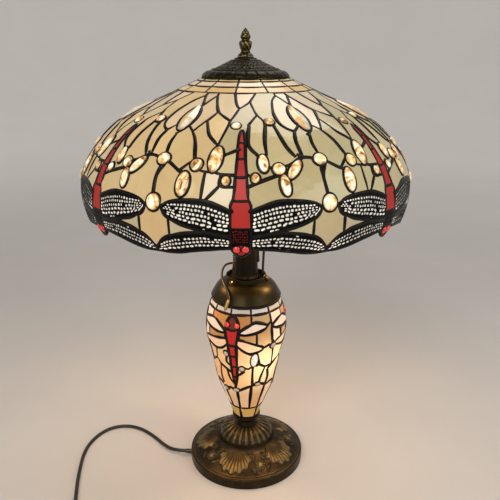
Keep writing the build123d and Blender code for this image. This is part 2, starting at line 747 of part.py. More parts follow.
# Jewels of one sector: place round the shade from its dragonfly, length down the wall, width, height and lean.
jewels = {
    "round_jewels": [(-2.5, 112, 11, 12, 0), (11.4, 104.5, 11, 12, 0), (4.2, 185, 9, 11, 0), (11.5, 174.5, 14, 14, 0),
                     (-4.4, 188, 9, 11, 0), (-13.9, 170, 14, 15, 0), (25.7, 165, 16, 15, 0), (25.7, 216, 18, 19, 0)],
    "oval_jewels": [(6.8, 167, 11, 22, 4), (16.4, 175.5, 11, 27, -38), (12.9, 193.5, 11, 25, 6),
                    (-8.1, 162, 15, 34, -8), (-17.2, 193, 15, 29, -4)],
    "leaf_jewels": [(26.3, 97, 19, 53, 0)],
}


def jewel_prisms(kinds, reach, growth, operation):
    """Upright ellipses through the wall, one for each jewel of the kinds in every sector."""
    for kind in kinds:
        for angle, s, width, height, lean in jewels[kind]:
            spots = [wall_plane(shade_line, s, front_angle + angle + sector * i) for i in range(dragonflies)]
            with BuildSketch(*spots) as outlines:
                Ellipse(width / 2 + growth, height / 2 + growth, rotation=lean)
            extrude(outlines.sketch, amount=reach, both=True, mode=operation)


for kind in jewels:
    with BuildPart() as jewel_group:
        jewel_prisms([kind], glass / 2 + came_proud, 0, Mode.ADD)
    finish(jewel_group, kind)

lead_half = 0.5  # half the angle of a lead line between two panes
brick_turn = sector / 2
column = 2.9  # half the angle of the dragonfly's own column
brick_rows = [(1.6, 6.2), (8.2, 20.0), (22.0, 35.0)]
upper_row = (38.0, 116.0)
middle_row = (119.0, 209.0)
wing_row = (212.0, 247.0)
rim_row = (250.4, 273.6)

with BuildPart() as shade_brick_rows:
    for low, high in brick_rows:
        spans = repeated([(-6 + lead_half, -6 + brick_turn - lead_half)], bricks_per_row, front_angle)
        add(panes(shade_line, low, high, spans))
finish(shade_brick_rows, "shade_brick_rows")

with BuildPart() as shade_upper_panels:
    spans = repeated([(lead_half, brick_turn - lead_half)], bricks_per_row, front_angle - brick_turn / 2)
    add(panes(shade_line, *upper_row, spans))
    jewel_prisms(["round_jewels", "leaf_jewels"], glass + 2, fit, Mode.SUBTRACT)
finish(shade_upper_panels, "shade_upper_panels")

side_spans = [(column, sector / 2 - lead_half), (sector / 2 + lead_half, sector - column)]
with BuildPart() as shade_middle_panels:
    add(panes(shade_line, *middle_row, repeated(side_spans, dragonflies, front_angle)))
    jewel_prisms(jewels, glass + 2, fit, Mode.SUBTRACT)
finish(shade_middle_panels, "shade_middle_panels")

wing_edge = 20.9
with BuildPart() as shade_rim_panels:
    spans = repeated([(wing_edge + lead_half, sector - wing_edge - lead_half)], dragonflies, front_angle)
    add(panes(shade_line, *wing_row, spans))
    jewel_prisms(["round_jewels"], glass + 2, fit, Mode.SUBTRACT)
finish(shade_rim_panels, "shade_rim_panels")

upper_wings = [(column, wing_edge - lead_half), (sector - wing_edge + lead_half, sector - column)]
with BuildPart() as shade_wing_panels:
    add(panes(shade_line, *wing_row, repeated(upper_wings, dragonflies, front_angle)))
    add(panes(shade_line, *rim_row, repeated(side_spans, dragonflies, front_angle)))
finish(shade_wing_panels, "shade_wing_panels")

# Etched brass wings lie on the outside of the wing glass.
filigree_thickness = 0.9
with BuildPart() as wing_filigree:
    inset = 0.4
    near_wings = [(start + inset, end - inset) for start, end in upper_wings]
    rim_wings = [(start + inset, end - inset) for start, end in side_spans]
    over = filigree_thickness + fit
    add(panes(shade_line, wing_row[0] + 1.5, wing_row[1] - 1.5, repeated(near_wings, dragonflies, front_angle),
              over, -fit))
    add(panes(shade_line, rim_row[0] + 1.5, rim_row[1] - 1.5, repeated(rim_wings, dragonflies, front_angle),
              over, -fit))
finish(wing_filigree, "wing_filigree")

body_pieces = [(119.4, 138.0, 1.5), (141.0, 160.0, 1.7), (162.5, 182.5, 1.8), (185.0, 208.6, 2.0), (212.2, 240.0, 2.5),
               (243.0, 246.8, 2.4), (250.6, 259.5, 2.4)]
with BuildPart() as dragonfly_bodies:
    for low, high, half in body_pieces:
        add(panes(shade_line, low, high, repeated([(-half, half)], dragonflies, front_angle)))
finish(dragonfly_bodies, "dragonfly_bodies")

eye_spread = 1.3
eye_place = 266.5
eye_radius = 4.4
with BuildPart() as dragonfly_eyes:
    for side in (-eye_spread, eye_spread):
        spots = [wall_plane(shade_line, eye_place, front_angle + side + sector * i) for i in range(dragonflies)]
        with BuildSketch(*spots):
            Circle(eye_radius)
        extrude(amount=glass / 2 + came_proud, both=True)
finish(dragonfly_eyes, "dragonfly_eyes")

shade_hoops = [(0.3, 1.4), (6.4, 8.0), (20.2, 21.8), (35.2, 37.8), (116.2, 118.8), (209.2, 211.8), (247.2, 250.2)]
with BuildPart() as shade_leading:
    for low, high in shade_hoops:
        add(turned(strip(shade_line, low, high, came_proud, glass + came_proud)))
    line_half = lead_half - 0.05
    lines = [(brick_rows[0], [(-6 - line_half, -6 + line_half)], bricks_per_row),
             (brick_rows[1], [(-6 - line_half, -6 + line_half)], bricks_per_row),
             (brick_rows[2], [(-6 - line_half, -6 + line_half)], bricks_per_row),
             (upper_row, [(brick_turn / 2 - line_half, brick_turn / 2 + line_half)], bricks_per_row),
             (middle_row, [(sector / 2 - line_half, sector / 2 + line_half)], dragonflies),
             (middle_row, [(-column + 0.05, -2.1), (2.1, column - 0.05)], dragonflies),
             (wing_row, [(wing_edge - line_half, wing_edge + line_half)], dragonflies),
             (wing_row, [(sector - wing_edge - line_half, sector - wing_edge + line_half)], dragonflies),
             (wing_row, [(-column + 0.05, -2.6), (2.6, column - 0.05)], dragonflies),
             (rim_row, [(sector / 2 - line_half, sector / 2 + line_half)], dragonflies),
             (rim_row, [(-column + 0.05, -2.6), (2.6, column - 0.05)], dragonflies)]
    for (low, high), spans, count in lines:
        add(panes(shade_line, low - 0.6, high + 0.4, repeated(spans, count, front_angle),
                  came_proud, glass + came_proud))
    jewel_prisms(jewels, glass + 2, fit, Mode.SUBTRACT)
finish(shade_leading, "shade_leading")

with BuildPart() as shade_rim_wire:
    add(turned(strip(shade_line, rim_row[1] + 0.5, rim_row[1] + 3.2, came_proud, glass + came_proud)))
finish(shade_rim_wire, "shade_rim_wire")
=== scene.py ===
import math
import random

import bpy
import numpy as np
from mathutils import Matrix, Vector
from mathutils.geometry import delaunay_2d_cdt
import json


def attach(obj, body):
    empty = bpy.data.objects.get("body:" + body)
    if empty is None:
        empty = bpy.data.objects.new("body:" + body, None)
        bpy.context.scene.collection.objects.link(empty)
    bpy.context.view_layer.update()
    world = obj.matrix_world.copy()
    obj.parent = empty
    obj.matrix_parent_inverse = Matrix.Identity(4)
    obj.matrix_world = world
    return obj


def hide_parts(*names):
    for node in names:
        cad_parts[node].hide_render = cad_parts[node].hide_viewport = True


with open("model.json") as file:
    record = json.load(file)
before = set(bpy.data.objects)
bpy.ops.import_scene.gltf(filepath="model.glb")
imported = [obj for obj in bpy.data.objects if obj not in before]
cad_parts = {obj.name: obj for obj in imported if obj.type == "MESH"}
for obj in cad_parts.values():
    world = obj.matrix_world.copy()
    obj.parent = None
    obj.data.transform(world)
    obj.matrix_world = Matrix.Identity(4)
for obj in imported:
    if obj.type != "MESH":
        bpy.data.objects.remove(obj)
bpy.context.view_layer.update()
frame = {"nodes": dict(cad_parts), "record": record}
nodes = frame["nodes"]
scene = bpy.context.scene
random.seed(41)
MM = 0.001
SLIVER = 2e-6  # twice the area in square metres under which a cell between leads gets no pane

# ---- camera and stage ----
FOCAL_PIXELS = 603.3
camera_data = bpy.data.cameras.new("camera")
camera_data.sensor_width = 36
camera_data.lens = FOCAL_PIXELS * 36 / 500
camera_data.clip_end = 30
camera = bpy.data.objects.new("camera", camera_data)
camera.location = (0.006, -0.8542, 0.6397)
camera.rotation_euler = (math.radians(90 - 18.32), 0, 0)
scene.collection.objects.link(camera)
scene.camera = camera


# ---- material helpers ----
def shader_of(name):
    """A new material and its Principled shader."""
    made = bpy.data.materials.new(name)
    made.use_nodes = True
    return made, made.node_tree.nodes["Principled BSDF"]


def add_node(made, kind, values=(), **fields):
    """A node of that kind with its fields set and its inputs set by name or number."""
    node = made.node_tree.nodes.new(kind)
    for field, value in fields.items():
        setattr(node, field, value)
    for socket, value in dict(values).items():
        node.inputs[socket].default_value = value
    return node


def join(made, source, target):
    made.node_tree.links.new(source, target)


def noise_of(made, scale, detail=4, roughness=0.6, distortion=0.0, vector=None):
    """A noise value over the object's own coordinates, or over another vector."""
    node = add_node(made, "ShaderNodeTexNoise",
                    {"Scale": scale, "Detail": detail, "Roughness": roughness, "Distortion": distortion})
    if vector is None:
        vector = add_node(made, "ShaderNodeTexCoord").outputs["Object"]
    join(made, vector, node.inputs["Vector"])
    return node.outputs["Fac"]


def ramp_of(made, value, stops):
    """Colours along a value, from stops of (place, (r, g, b))."""
    node = add_node(made, "ShaderNodeValToRGB")
    ramp = node.color_ramp
    while len(ramp.elements) < len(stops):
        ramp.elements.new(0.5)
    for element, (place, colour) in zip(ramp.elements, stops):
        element.position = place
        element.color = (*colour, 1)
    join(made, value, node.inputs["Fac"])
    return node.outputs["Color"]


def mixed(made, factor, first, second, blend="MIX"):
    """Two colours mixed. Each may be a socket or a plain colour, and the factor a socket or a number."""
    node = add_node(made, "ShaderNodeMix", data_type="RGBA", blend_type=blend)
    for socket, value in ((0, factor), (6, first), (7, second)):
        if isinstance(value, bpy.types.NodeSocket):
            join(made, value, node.inputs[socket])
        else:
            node.inputs[socket].default_value = value if socket == 0 else (*value, 1)
    return node.outputs[2]


def scaled(made, value, low, high):
    """A value from 0 to 1 stretched to low to high."""
    node = add_node(made, "ShaderNodeMapRange", {"To Min": low, "To Max": high})
    join(made, value, node.inputs["Value"])
    return node.outputs["Result"]


def bump_of(made, shader, height, strength, distance):
    node = add_node(made, "ShaderNodeBump", {"Strength": strength, "Distance": distance})
    join(made, height, node.inputs["Height"])
    join(made, node.outputs["Normal"], shader.inputs["Normal"])


def tint_of(made, name="tint"):
    """The node that reads a point attribute of the mesh."""
    return add_node(made, "ShaderNodeAttribute", attribute_name=name)


def lit(made, shader, colour, glow):
    """The same colour by reflection and by emitted glow; on the shade and vase glass and the jewels this glow is
    painted light standing in for the bulbs shining through from behind.
    """
    join(made, colour, shader.inputs["Base Color"])
    join(made, colour, shader.inputs["Emission Color"])
    shader.inputs["Emission Strength"].default_value = glow


# ---- materials ----
def glass_material(name, glow, streak=0.3, gloss=0.12):
    """Opalescent sheet glass with a painted glow for the light from behind: its colour comes from each pane, with
    streaks of its own.
    """
    made, shader = shader_of(name)
    grain = tint_of(made, "grain").outputs["Vector"]
    stretch = add_node(made, "ShaderNodeMapping", {"Scale": (1.0, 0.28, 1.0)})
    join(made, grain, stretch.inputs["Vector"])
    streaks = noise_of(made, 38, 5, 0.55, 1.6, stretch.outputs["Vector"])
    clouds = noise_of(made, 15, 3, 0.5, 0.6, grain)
    tint = tint_of(made).outputs["Color"]
    light = mixed(made, 1.0, tint, (1.11, 1.10, 1.06), "MULTIPLY")
    dark = mixed(made, 1.0, tint, (0.90, 0.86, 0.74), "MULTIPLY")
    body = mixed(made, scaled(made, streaks, 0.5 - streak * 1.6, 0.5 + streak * 1.6), dark, light)
    shade = mixed(made, scaled(made, clouds, 0.0, 1.0), (0.9, 0.88, 0.84), (1.08, 1.08, 1.07))
    colour = mixed(made, 1.0, body, shade, "MULTIPLY")
    lit(made, shader, colour, glow)
    join(made, scaled(made, clouds, gloss, gloss + 0.16), shader.inputs["Roughness"])
    shader.inputs["IOR"].default_value = 1.52
    shader.inputs["Coat Weight"].default_value = 0.3 if gloss < 0.3 else 0.04
    shader.inputs["Coat Roughness"].default_value = 0.05
    bump_of(made, shader, noise_of(made, 90, 3, 0.5, 0.4), 0.12, 0.0006)
    return made


def jewel_material(name, stops, glow, scale=140.0):
    """Pressed glass: swirls from dark to bright inside, and a wet gloss."""
    made, shader = shader_of(name)
    swirl = noise_of(made, scale, 3, 0.55, 2.4)
    colour = mixed(made, 1.0, ramp_of(made, swirl, stops), tint_of(made).outputs["Color"], "MULTIPLY")
    lit(made, shader, colour, glow)
    shader.inputs["Roughness"].default_value = 0.06
    shader.inputs["Coat Weight"].default_value = 0.8
    shader.inputs["Coat Roughness"].default_value = 0.03
    shader.inputs["IOR"].default_value = 1.6
    bump_of(made, shader, noise_of(made, scale * 0.7, 2, 0.5, 1.0), 0.35, 0.0012)
    return made


def metal_material(name, stops, rough=(0.3, 0.5), scale=60.0, bump=0.12, metallic=1.0, rub=None):
    """Finished metal: blotched colour, uneven polish and a fine grain. Rub is the colour worn on to ridges."""
    made, shader = shader_of(name)
    colour = ramp_of(made, noise_of(made, scale, 6, 0.62, 0.5), stops)
    if rub:
        ridge = tint_of(made, "ridge").outputs["Fac"]
        worn = add_node(made, "ShaderNodeMath", operation="MULTIPLY")
        join(made, ridge, worn.inputs[0])
        join(made, scaled(made, noise_of(made, 170, 5, 0.7), 0.25, 1.25), worn.inputs[1])
        colour = mixed(made, worn.outputs["Value"], colour, rub)
    join(made, colour, shader.inputs["Base Color"])
    shader.inputs["Metallic"].default_value = metallic
    join(made, scaled(made, noise_of(made, scale * 2.1, 4, 0.6), *rough), shader.inputs["Roughness"])
    bump_of(made, shader, noise_of(made, scale * 9, 5, 0.65), bump, 0.0004)
    return made


def plastic_material(name, dark, light, rough=(0.35, 0.5), scale=300.0, bump=0.1, sheen=0.0):
    """Moulded plastic or felt: two close colours and a fine grain."""
    made, shader = shader_of(name)
    join(made, ramp_of(made, noise_of(made, scale, 4), [(0.3, dark), (0.7, light)]), shader.inputs["Base Color"])
    join(made, scaled(made, noise_of(made, scale * 0.4, 3), *rough), shader.inputs["Roughness"])
    shader.inputs["Sheen Weight"].default_value = sheen
    bump_of(made, shader, noise_of(made, scale * 3, 3), bump, 0.0003)
    return made


def warm_glow(name, colour, strength):
    """The frosted glass of a lit bulb."""
    made, shader = shader_of(name)
    tone = ramp_of(made, noise_of(made, 25, 3), [(0.2, colour), (0.8, tuple(min(1, c * 1.15) for c in colour))])
    lit(made, shader, tone, strength)
    shader.inputs["Roughness"].default_value = 0.18
    return made


shade_glass = glass_material("shade_glass", 0.27)
vase_glass = glass_material("vase_glass", 0.5)
red_glass = glass_material("red_glass", 0.2, 0.16, 0.44)
wing_glass = glass_material("wing_glass", 0.5, 0.2)
jewel_glass = jewel_material("jewel_glass", [(0.33, (0.20, 0.075, 0.012)), (0.42, (0.62, 0.32, 0.09)),
                                             (0.52, (0.96, 0.66, 0.30)), (0.62, (1.0, 0.93, 0.76))], 0.42, 52)
leaf_glass = jewel_material("leaf_glass", [(0.3, (0.60, 0.45, 0.27)), (0.5, (0.78, 0.67, 0.47)),
                                           (0.7, (0.90, 0.82, 0.64))], 0.25, 30)
clear_jewel = jewel_material("clear_jewel", [(0.3, (0.45, 0.39, 0.32)), (0.5, (0.8, 0.72, 0.62)),
                                             (0.7, (1.0, 0.97, 0.9))], 0.5, 110)
ruby_glass = jewel_material("ruby_glass", [(0.3, (0.25, 0.0, 0.0)), (0.5, (0.62, 0.01, 0.01)),
                                           (0.7, (0.95, 0.05, 0.03))], 0.35)
patina = metal_material("patina", [(0.3, (0.008, 0.007, 0.007)), (0.6, (0.022, 0.017, 0.014)),
                                   (0.8, (0.06, 0.045, 0.035))], (0.25, 0.55), 120, 0.35, 0.85)
filigree_black = metal_material("filigree_black", [(0.3, (0.004, 0.005, 0.005)), (0.65, (0.009, 0.010, 0.010)),
                                                   (0.85, (0.028, 0.031, 0.033))], (0.34, 0.55), 150, 0.25, 0.97)
foot_bronze = metal_material("foot_bronze", [(0.3, (0.018, 0.012, 0.006)), (0.55, (0.040, 0.027, 0.012)),
                                             (0.8, (0.080, 0.054, 0.024))], (0.28, 0.5), 55, 0.2, 0.85,
                             (0.29, 0.21, 0.085))
cap_bronze = metal_material("cap_bronze", [(0.3, (0.022, 0.0175, 0.008)), (0.6, (0.033, 0.0265, 0.012)),
                                           (0.8, (0.050, 0.041, 0.020))], (0.32, 0.42), 28, 0.03, 0.94)
sleeve_bronze = metal_material("sleeve_bronze", [(0.3, (0.012, 0.009, 0.005)), (0.6, (0.022, 0.016, 0.008)),
                                                 (0.8, (0.040, 0.029, 0.013))], (0.22, 0.34), 40, 0.04, 0.9)
finial_bronze = metal_material("finial_bronze", [(0.3, (0.03, 0.025, 0.01)), (0.6, (0.07, 0.055, 0.022)),
                                                 (0.8, (0.14, 0.11, 0.045))], (0.2, 0.38), 70, 0.1, 0.95,
                               (0.42, 0.3, 0.11))
brass = metal_material("brass", [(0.3, (0.38, 0.26, 0.09)), (0.6, (0.52, 0.37, 0.14)), (0.8, (0.64, 0.47, 0.2))],
                       (0.2, 0.4), 80, 0.06)
steel = metal_material("steel", [(0.3, (0.35, 0.34, 0.32)), (0.7, (0.55, 0.54, 0.52))], (0.25, 0.45), 90, 0.08)
aluminium = metal_material("aluminium", [(0.3, (0.6, 0.6, 0.6)), (0.7, (0.78, 0.78, 0.77))], (0.2, 0.4), 90, 0.05)
felt = plastic_material("felt", (0.012, 0.03, 0.018), (0.03, 0.06, 0.035), (0.85, 0.98), 900, 0.5, 0.4)
black_plastic = plastic_material("black_plastic", (0.010, 0.009, 0.009), (0.024, 0.021, 0.02), (0.3, 0.45), 260, 0.12)
cord_vinyl = plastic_material("cord_vinyl", (0.008, 0.006, 0.005), (0.020, 0.015, 0.013), (0.36, 0.5), 420, 0.08)
bulb_glow = warm_glow("bulb_glow", (1.0, 0.72, 0.42), 5.0)

finishes = {"foot_bronze": foot_bronze, "cap_bronze": cap_bronze, "sleeve_bronze": sleeve_bronze,
            "finial_bronze": finial_bronze, "pull_bronze": cap_bronze, "felt": felt, "steel": steel,
            "brass": brass, "socket_black": black_plastic,
            "aluminium": aluminium, "bulb_glass": bulb_glow, "cord": cord_vinyl, "cord_plastic": black_plastic,
            "pull_cord": cord_vinyl, "amber_glass": shade_glass, "cream_glass": shade_glass,
            "vase_glass": vase_glass, "wing_glass": wing_glass, "red_glass": red_glass, "ruby_glass": ruby_glass,
            "jewel_glass": jewel_glass, "patina": patina}
slot_of = {part["node"]: part["material_slot"] for part in frame["record"]["subparts"]}
for node_name, node in nodes.items():
    node.data.materials.clear()
    node.data.materials.append(finishes[slot_of[node_name]])


# ---- geometry helpers ----
def eased(value, start, end):
    """0 before start, 1 after end and smooth between."""
    share = np.clip((value - start) / (end - start), 0, 1)
    return share * share * (3 - 2 * share)


def ring_faces(steps, sides, rings=None):
    """Faces between rings of points, over so many steps. Past the last ring they go back to the first."""
    rings = rings or steps + 1
    return [(i * sides + k, i * sides + (k + 1) % sides,
             (i + 1) % rings * sides + (k + 1) % sides, (i + 1) % rings * sides + k)
            for i in range(steps) for k in range(sides)]


def ball_faces(rings, sides):
    """The faces of a round shape of one point, rings of points and a last point."""
    last = 1 + (rings - 1) * sides
    faces = [(0, 1 + k, 1 + (k + 1) % sides) for k in range(sides)]
    faces += [(1 + a, 1 + d, 1 + c, 1 + b) for a, b, c, d in ring_faces(rings - 1, sides)]
    return faces + [(last + k, last + sides, last + (k + 1) % sides) for k in range(sides)]


def across_and_down(out):
    """Two directions along a wall that faces out: level, and down it."""
    across = np.cross((0, 0, 1.0), out)
    across /= np.linalg.norm(across)
    return across, np.cross(out, across)


class Gathered:
    """Vertices, faces and point attributes gathered for one mesh, in metres."""

    def __init__(self):
        self.spots, self.faces, self.tints, self.grains, self.count = [], [], [], [], 0

    def add(self, spots, faces, tint=(0.5, 0.5, 0.5), grain=None):
        """One closed shape, with a colour for all or each of its points."""
        spots = np.asarray(spots, float)
        self.spots.append(spots)
        self.faces += [[i + self.count for i in face] for face in faces]
        self.tints.append(np.broadcast_to(np.asarray(tint, float), (len(spots), 3)))
        self.grains.append(spots if grain is None else grain)
        self.count += len(spots)

    def piece(self, name, material, slot, body, replaced=(), smooth=True):
        """The gathered mesh as an object that rides on a body."""
        mesh = bpy.data.meshes.new(name)
        mesh.from_pydata(np.vstack(self.spots).tolist(), [], self.faces)
        tint = mesh.color_attributes.new("tint", "FLOAT_COLOR", "POINT")
        colours = np.ones((self.count, 4))
        colours[:, :3] = np.vstack(self.tints)
        tint.data.foreach_set("color", colours.ravel())
        grain = mesh.attributes.new("grain", "FLOAT_VECTOR", "POINT")
        grain.data.foreach_set("vector", np.vstack(self.grains).ravel())
        mesh.validate()
        if smooth:
            mesh.shade_smooth()
        obj = bpy.data.objects.new(name, mesh)
        scene.collection.objects.link(obj)
        mesh.materials.append(material)
        dress(obj, body, replaced)
        return obj


def dress(obj, body, replaced=()):
    """Hides the nodes that an object replaces and puts it on its body."""
    if replaced:
        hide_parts(*replaced)
    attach(obj, body)


def natural_spline(x, y, at):
    """Values at some places on the natural cubic spline through points."""
    count = len(x)
    step = np.diff(x)
    rows = np.eye(count)
    target = np.zeros(count)
    for i in range(1, count - 1):
        rows[i, i - 1:i + 2] = step[i - 1], 2 * (step[i - 1] + step[i]), step[i]
        target[i] = 6 * ((y[i + 1] - y[i]) / step[i] - (y[i] - y[i - 1]) / step[i - 1])
    bend = np.linalg.solve(rows, target)
    i = np.clip(np.searchsorted(x, at) - 1, 0, count - 2)
    h, before, after = step[i], x[i + 1] - at, at - x[i]
    return ((bend[i] * before ** 3 + bend[i + 1] * after ** 3) / (6 * h)
            + (y[i] / h - bend[i] * h / 6) * before + (y[i + 1] / h - bend[i + 1] * h / 6) * after)


class Wall:
    """A turned wall from the (radius, height) corners of its outer line, in mm, and the way its front faces."""

    def __init__(self, corners, front, sharp=False):
        corners = np.array(corners, float)
        chord = np.concatenate([[0], np.cumsum(np.hypot(*np.diff(corners, axis=0).T))])
        at = np.linspace(0, chord[-1], 1500)
        if sharp:
            self.r, self.z = (np.interp(at, chord, column) for column in corners.T)
        else:
            self.r, self.z = (natural_spline(chord, column, at) for column in corners.T)
        self.s = np.concatenate([[0], np.cumsum(np.hypot(np.diff(self.r), np.diff(self.z)))])
        along_r, along_z = np.gradient(self.r, self.s), np.gradient(self.z, self.s)
        side = 1 if along_z.mean() < 0 else -1
        self.out_r, self.out_z = -along_z * side, along_r * side
        self.front = front
        self.length = self.s[-1]

    def radius(self, s):
        """The wall's radius at a length."""
        return np.interp(s, self.s, self.r)

    def facing(self, a, s):
        """The wall's direction at angles and lengths: the angle about its axis, and which way is out."""
        return (np.radians(a + self.front), np.interp(s, self.s, self.out_r), np.interp(s, self.s, self.out_z))

    def length_at(self, z):
        """The length along the wall at a height, for a wall that only rises."""
        return np.interp(z, self.z, self.s)

    def spots(self, a, s, depth=0.0):
        """Points in metres at angles in degrees from the front and lengths in mm, depth mm in from outside."""
        a, s, depth = np.broadcast_arrays(*(np.asarray(v, float) for v in (a, s, depth)))
        turn, out_r, out_z = self.facing(a, s)
        r = np.interp(s, self.s, self.r) - out_r * depth
        z = np.interp(s, self.s, self.z) - out_z * depth
        return np.stack([r * np.cos(turn), r * np.sin(turn), z], -1) * MM

    def outward(self, a, s):
        """The directions straight out of the wall."""
        a, s = np.broadcast_arrays(np.asarray(a, float), np.asarray(s, float))
        turn, out_r, out_z = self.facing(a, s)
        return np.stack([out_r * np.cos(turn), out_r * np.sin(turn), out_z], -1)


def smooth_line(points, step=3.5, wide=3.3, closed=False):
    """Points of (angle, length) on a smooth line through a few, about step mm apart. Wide is mm per degree."""
    points = np.array(points, float)
    if closed:
        points = np.vstack([points[-1], points, points[:2]])
    elif len(points) == 2:
        count = max(2, int(np.hypot(*((points[1] - points[0]) * (wide, 1))) / step) + 1)
        return points[0] + (points[1] - points[0]) * np.linspace(0, 1, count)[:, None]
    else:
        points = np.vstack([2 * points[0] - points[1], points, 2 * points[-1] - points[-2]])
    found = []
    for p0, p1, p2, p3 in zip(points, points[1:], points[2:], points[3:]):
        count = max(1, round(np.hypot(*((p2 - p1) * (wide, 1))) / step))
        t = (np.arange(count) / count)[:, None]
        found.append(0.5 * (2 * p1 + (p2 - p0) * t + (2 * p0 - 5 * p1 + 4 * p2 - p3) * t ** 2
                            + (3 * p1 - p0 - 3 * p2 + p3) * t ** 3))
    found.append(points[1:2] if closed else points[-2:-1])
    return np.vstack(found)


def nearest_on(line, spot, wide):
    """The nearest point of a line to a spot, and how far it is in mm."""
    scale = np.array([wide, 1.0])
    start, run = line[:-1] * scale, np.diff(line, axis=0) * scale
    t = np.clip(((spot * scale - start) * run).sum(1) / np.maximum((run ** 2).sum(1), 1e-9), 0, 1)
    found = start + run * t[:, None]
    far = np.hypot(*(found - spot * scale).T)
    return found[far.argmin()] / scale, far.min()


def shifted(line, turn):
    """A line moved round the wall by degrees."""
    return line + np.array([turn, 0.0])


def level_line(a, s):
    """A level line through angles at one length."""
    return np.stack([a, np.full_like(a, s)], 1)


def leant(wall, a, s, x, y, lean):
    """A shape of x across and y down in mm, leaning by radians, as (angle, length) points about a place."""
    over, down = x * math.cos(lean) - y * math.sin(lean), x * math.sin(lean) + y * math.cos(lean)
    return np.stack([a + np.degrees(over / wall.radius(s)), s + down], 1)


def meet(lines, turn, wide, reach=7.0, past=0.5):
    """Lines of one sector with each loose end carried on to the nearest other line and just past it."""
    around = [(i, shifted(line, way * turn)) for i, line in enumerate(lines) for way in (-1, 0, 1)]
    met = []
    for i, line in enumerate(lines):
        if np.allclose(line[0], line[-1]):
            met.append(line)
            continue
        for end in (0, -1):
            others = [nearest_on(other, line[end], wide) for j, other in around if j != i]
            spot, far = min(others, key=lambda pair: pair[1])
            if far < reach:
                before = line[end] if far > 0.4 else line[1 if end == 0 else -2]
                run = ((spot if far > 0.4 else line[end]) - before) * (wide, 1)
                on = spot + run / max(np.hypot(*run), 1e-6) * past / (wide, 1)
                line = np.vstack([on, line]) if end == 0 else np.vstack([line, on])
        met.append(line)
    return met


def cut_cells(wall, lines, low, high, turn, wide, spacing=7.0):
    """Triangles of the wall between low and high, each with the number of its cell between the lines.

    Returns the points, the triangles and the cell numbers, with the wall joined to itself at the back."""
    ways = range(-int(210 / turn) - 1, int(210 / turn) + 2)
    copies = [shifted(line, way * turn) for line in lines for way in ways]
    copies = [line for line in copies if line[:, 0].max() > -195 and line[:, 0].min() < 195]
    copies += [level_line(np.arange(-200, 200.1, 2.0), s) for s in (low, high)]
    seam_s = np.arange(low, high + 0.1, 5.0)
    seams = [np.stack([np.full_like(seam_s, a), seam_s], 1) for a in (-180.0, 180.0)]
    spots, edges = [], []
    lead_edges = 0
    for group in (copies, seams):
        for line in group:
            first = len(spots)
            spots += [(a * wide, s) for a, s in line]
            edges += [(first + i, first + i + 1) for i in range(len(line) - 1)]
        lead_edges = lead_edges or len(edges)
    for s in np.arange(low + spacing / 2, high, spacing):
        degrees = spacing * 57.3 / max(wall.radius(s), 30)
        shift = random.uniform(0, degrees)
        spots += [(a * wide, s) for a in np.arange(-179 + shift, 179, degrees)]
    out = delaunay_2d_cdt([Vector(spot) for spot in spots], edges, [], 0, 1e-4)
    points = np.array([tuple(v) for v in out[0]]) / (wide, 1)
    triangles = np.array([face for face in out[2] if len(face) == 3])
    middle = points[triangles].mean(1)
    inside = (abs(middle[:, 0]) < 180) & (middle[:, 1] > low) & (middle[:, 1] < high)
    triangles = triangles[inside]
    leads = {tuple(sorted(pair)) for pair, origin in zip(out[1], out[4]) if any(i < lead_edges for i in origin)}
    right = [i for i in np.unique(triangles) if points[i, 0] > 179.999]
    left = [i for i in np.unique(triangles) if points[i, 0] < -179.999]
    swap = np.arange(len(points))
    for i in right:
        far = abs(points[left, 1] - points[i, 1])
        if far.min() < 0.05:
            swap[i] = left[far.argmin()]
    leads = {tuple(sorted((swap[i], swap[j]))) for i, j in leads}
    triangles = swap[triangles]
    parent = list(range(len(triangles)))

    def root(i):
        while parent[i] != i:
            parent[i] = parent[parent[i]]
            i = parent[i]
        return i

    seen = {}
    for number, face in enumerate(triangles):
        for i, j in zip(face, np.roll(face, -1)):
            pair = (min(i, j), max(i, j))
            if pair in leads:
                continue
            if pair in seen:
                parent[root(number)] = root(seen[pair])
            else:
                seen[pair] = number
    return points, triangles, np.array([root(i) for i in range(len(triangles))])


def shell(outer, inner, faces):
    """A closed shell from outer and inner points and the outer faces."""
    count = len(outer)
    rim = {}
    for face in faces:
        for i, j in zip(face, [*face[1:], face[0]]):
            if (j, i) in rim:
                del rim[(j, i)]
            else:
                rim[(i, j)] = True
    backs = [tuple(i + count for i in face[::-1]) for face in faces]
    walls = [(j, i, i + count, j + count) for i, j in rim]
    return np.vstack([outer, inner]), [*map(tuple, faces), *backs, *walls]


def faced_out(wall, points, faces):
    """Triangles turned so that they run counter-clockwise seen from outside."""
    spots = wall.spots(points[:, 0], points[:, 1])
    corners = spots[faces]
    normal = np.cross(corners[:, 1] - corners[:, 0], corners[:, 2] - corners[:, 0])
    wrong = (normal * wall.outward(points[faces[:, 0], 0], points[faces[:, 0], 1])).sum(1) < 0
    faces[wrong] = faces[wrong][:, ::-1]
    return faces


def turned_out(wall, outer, faces, place, at=0):
    """Faces all turned over if one of them, at a place on the wall, faces inwards."""
    first, second, _, last = faces[at]
    normal = np.cross(outer[second] - outer[first], outer[last] - outer[first])
    return [face[::-1] for face in faces] if normal @ wall.outward(*place) < 0 else faces


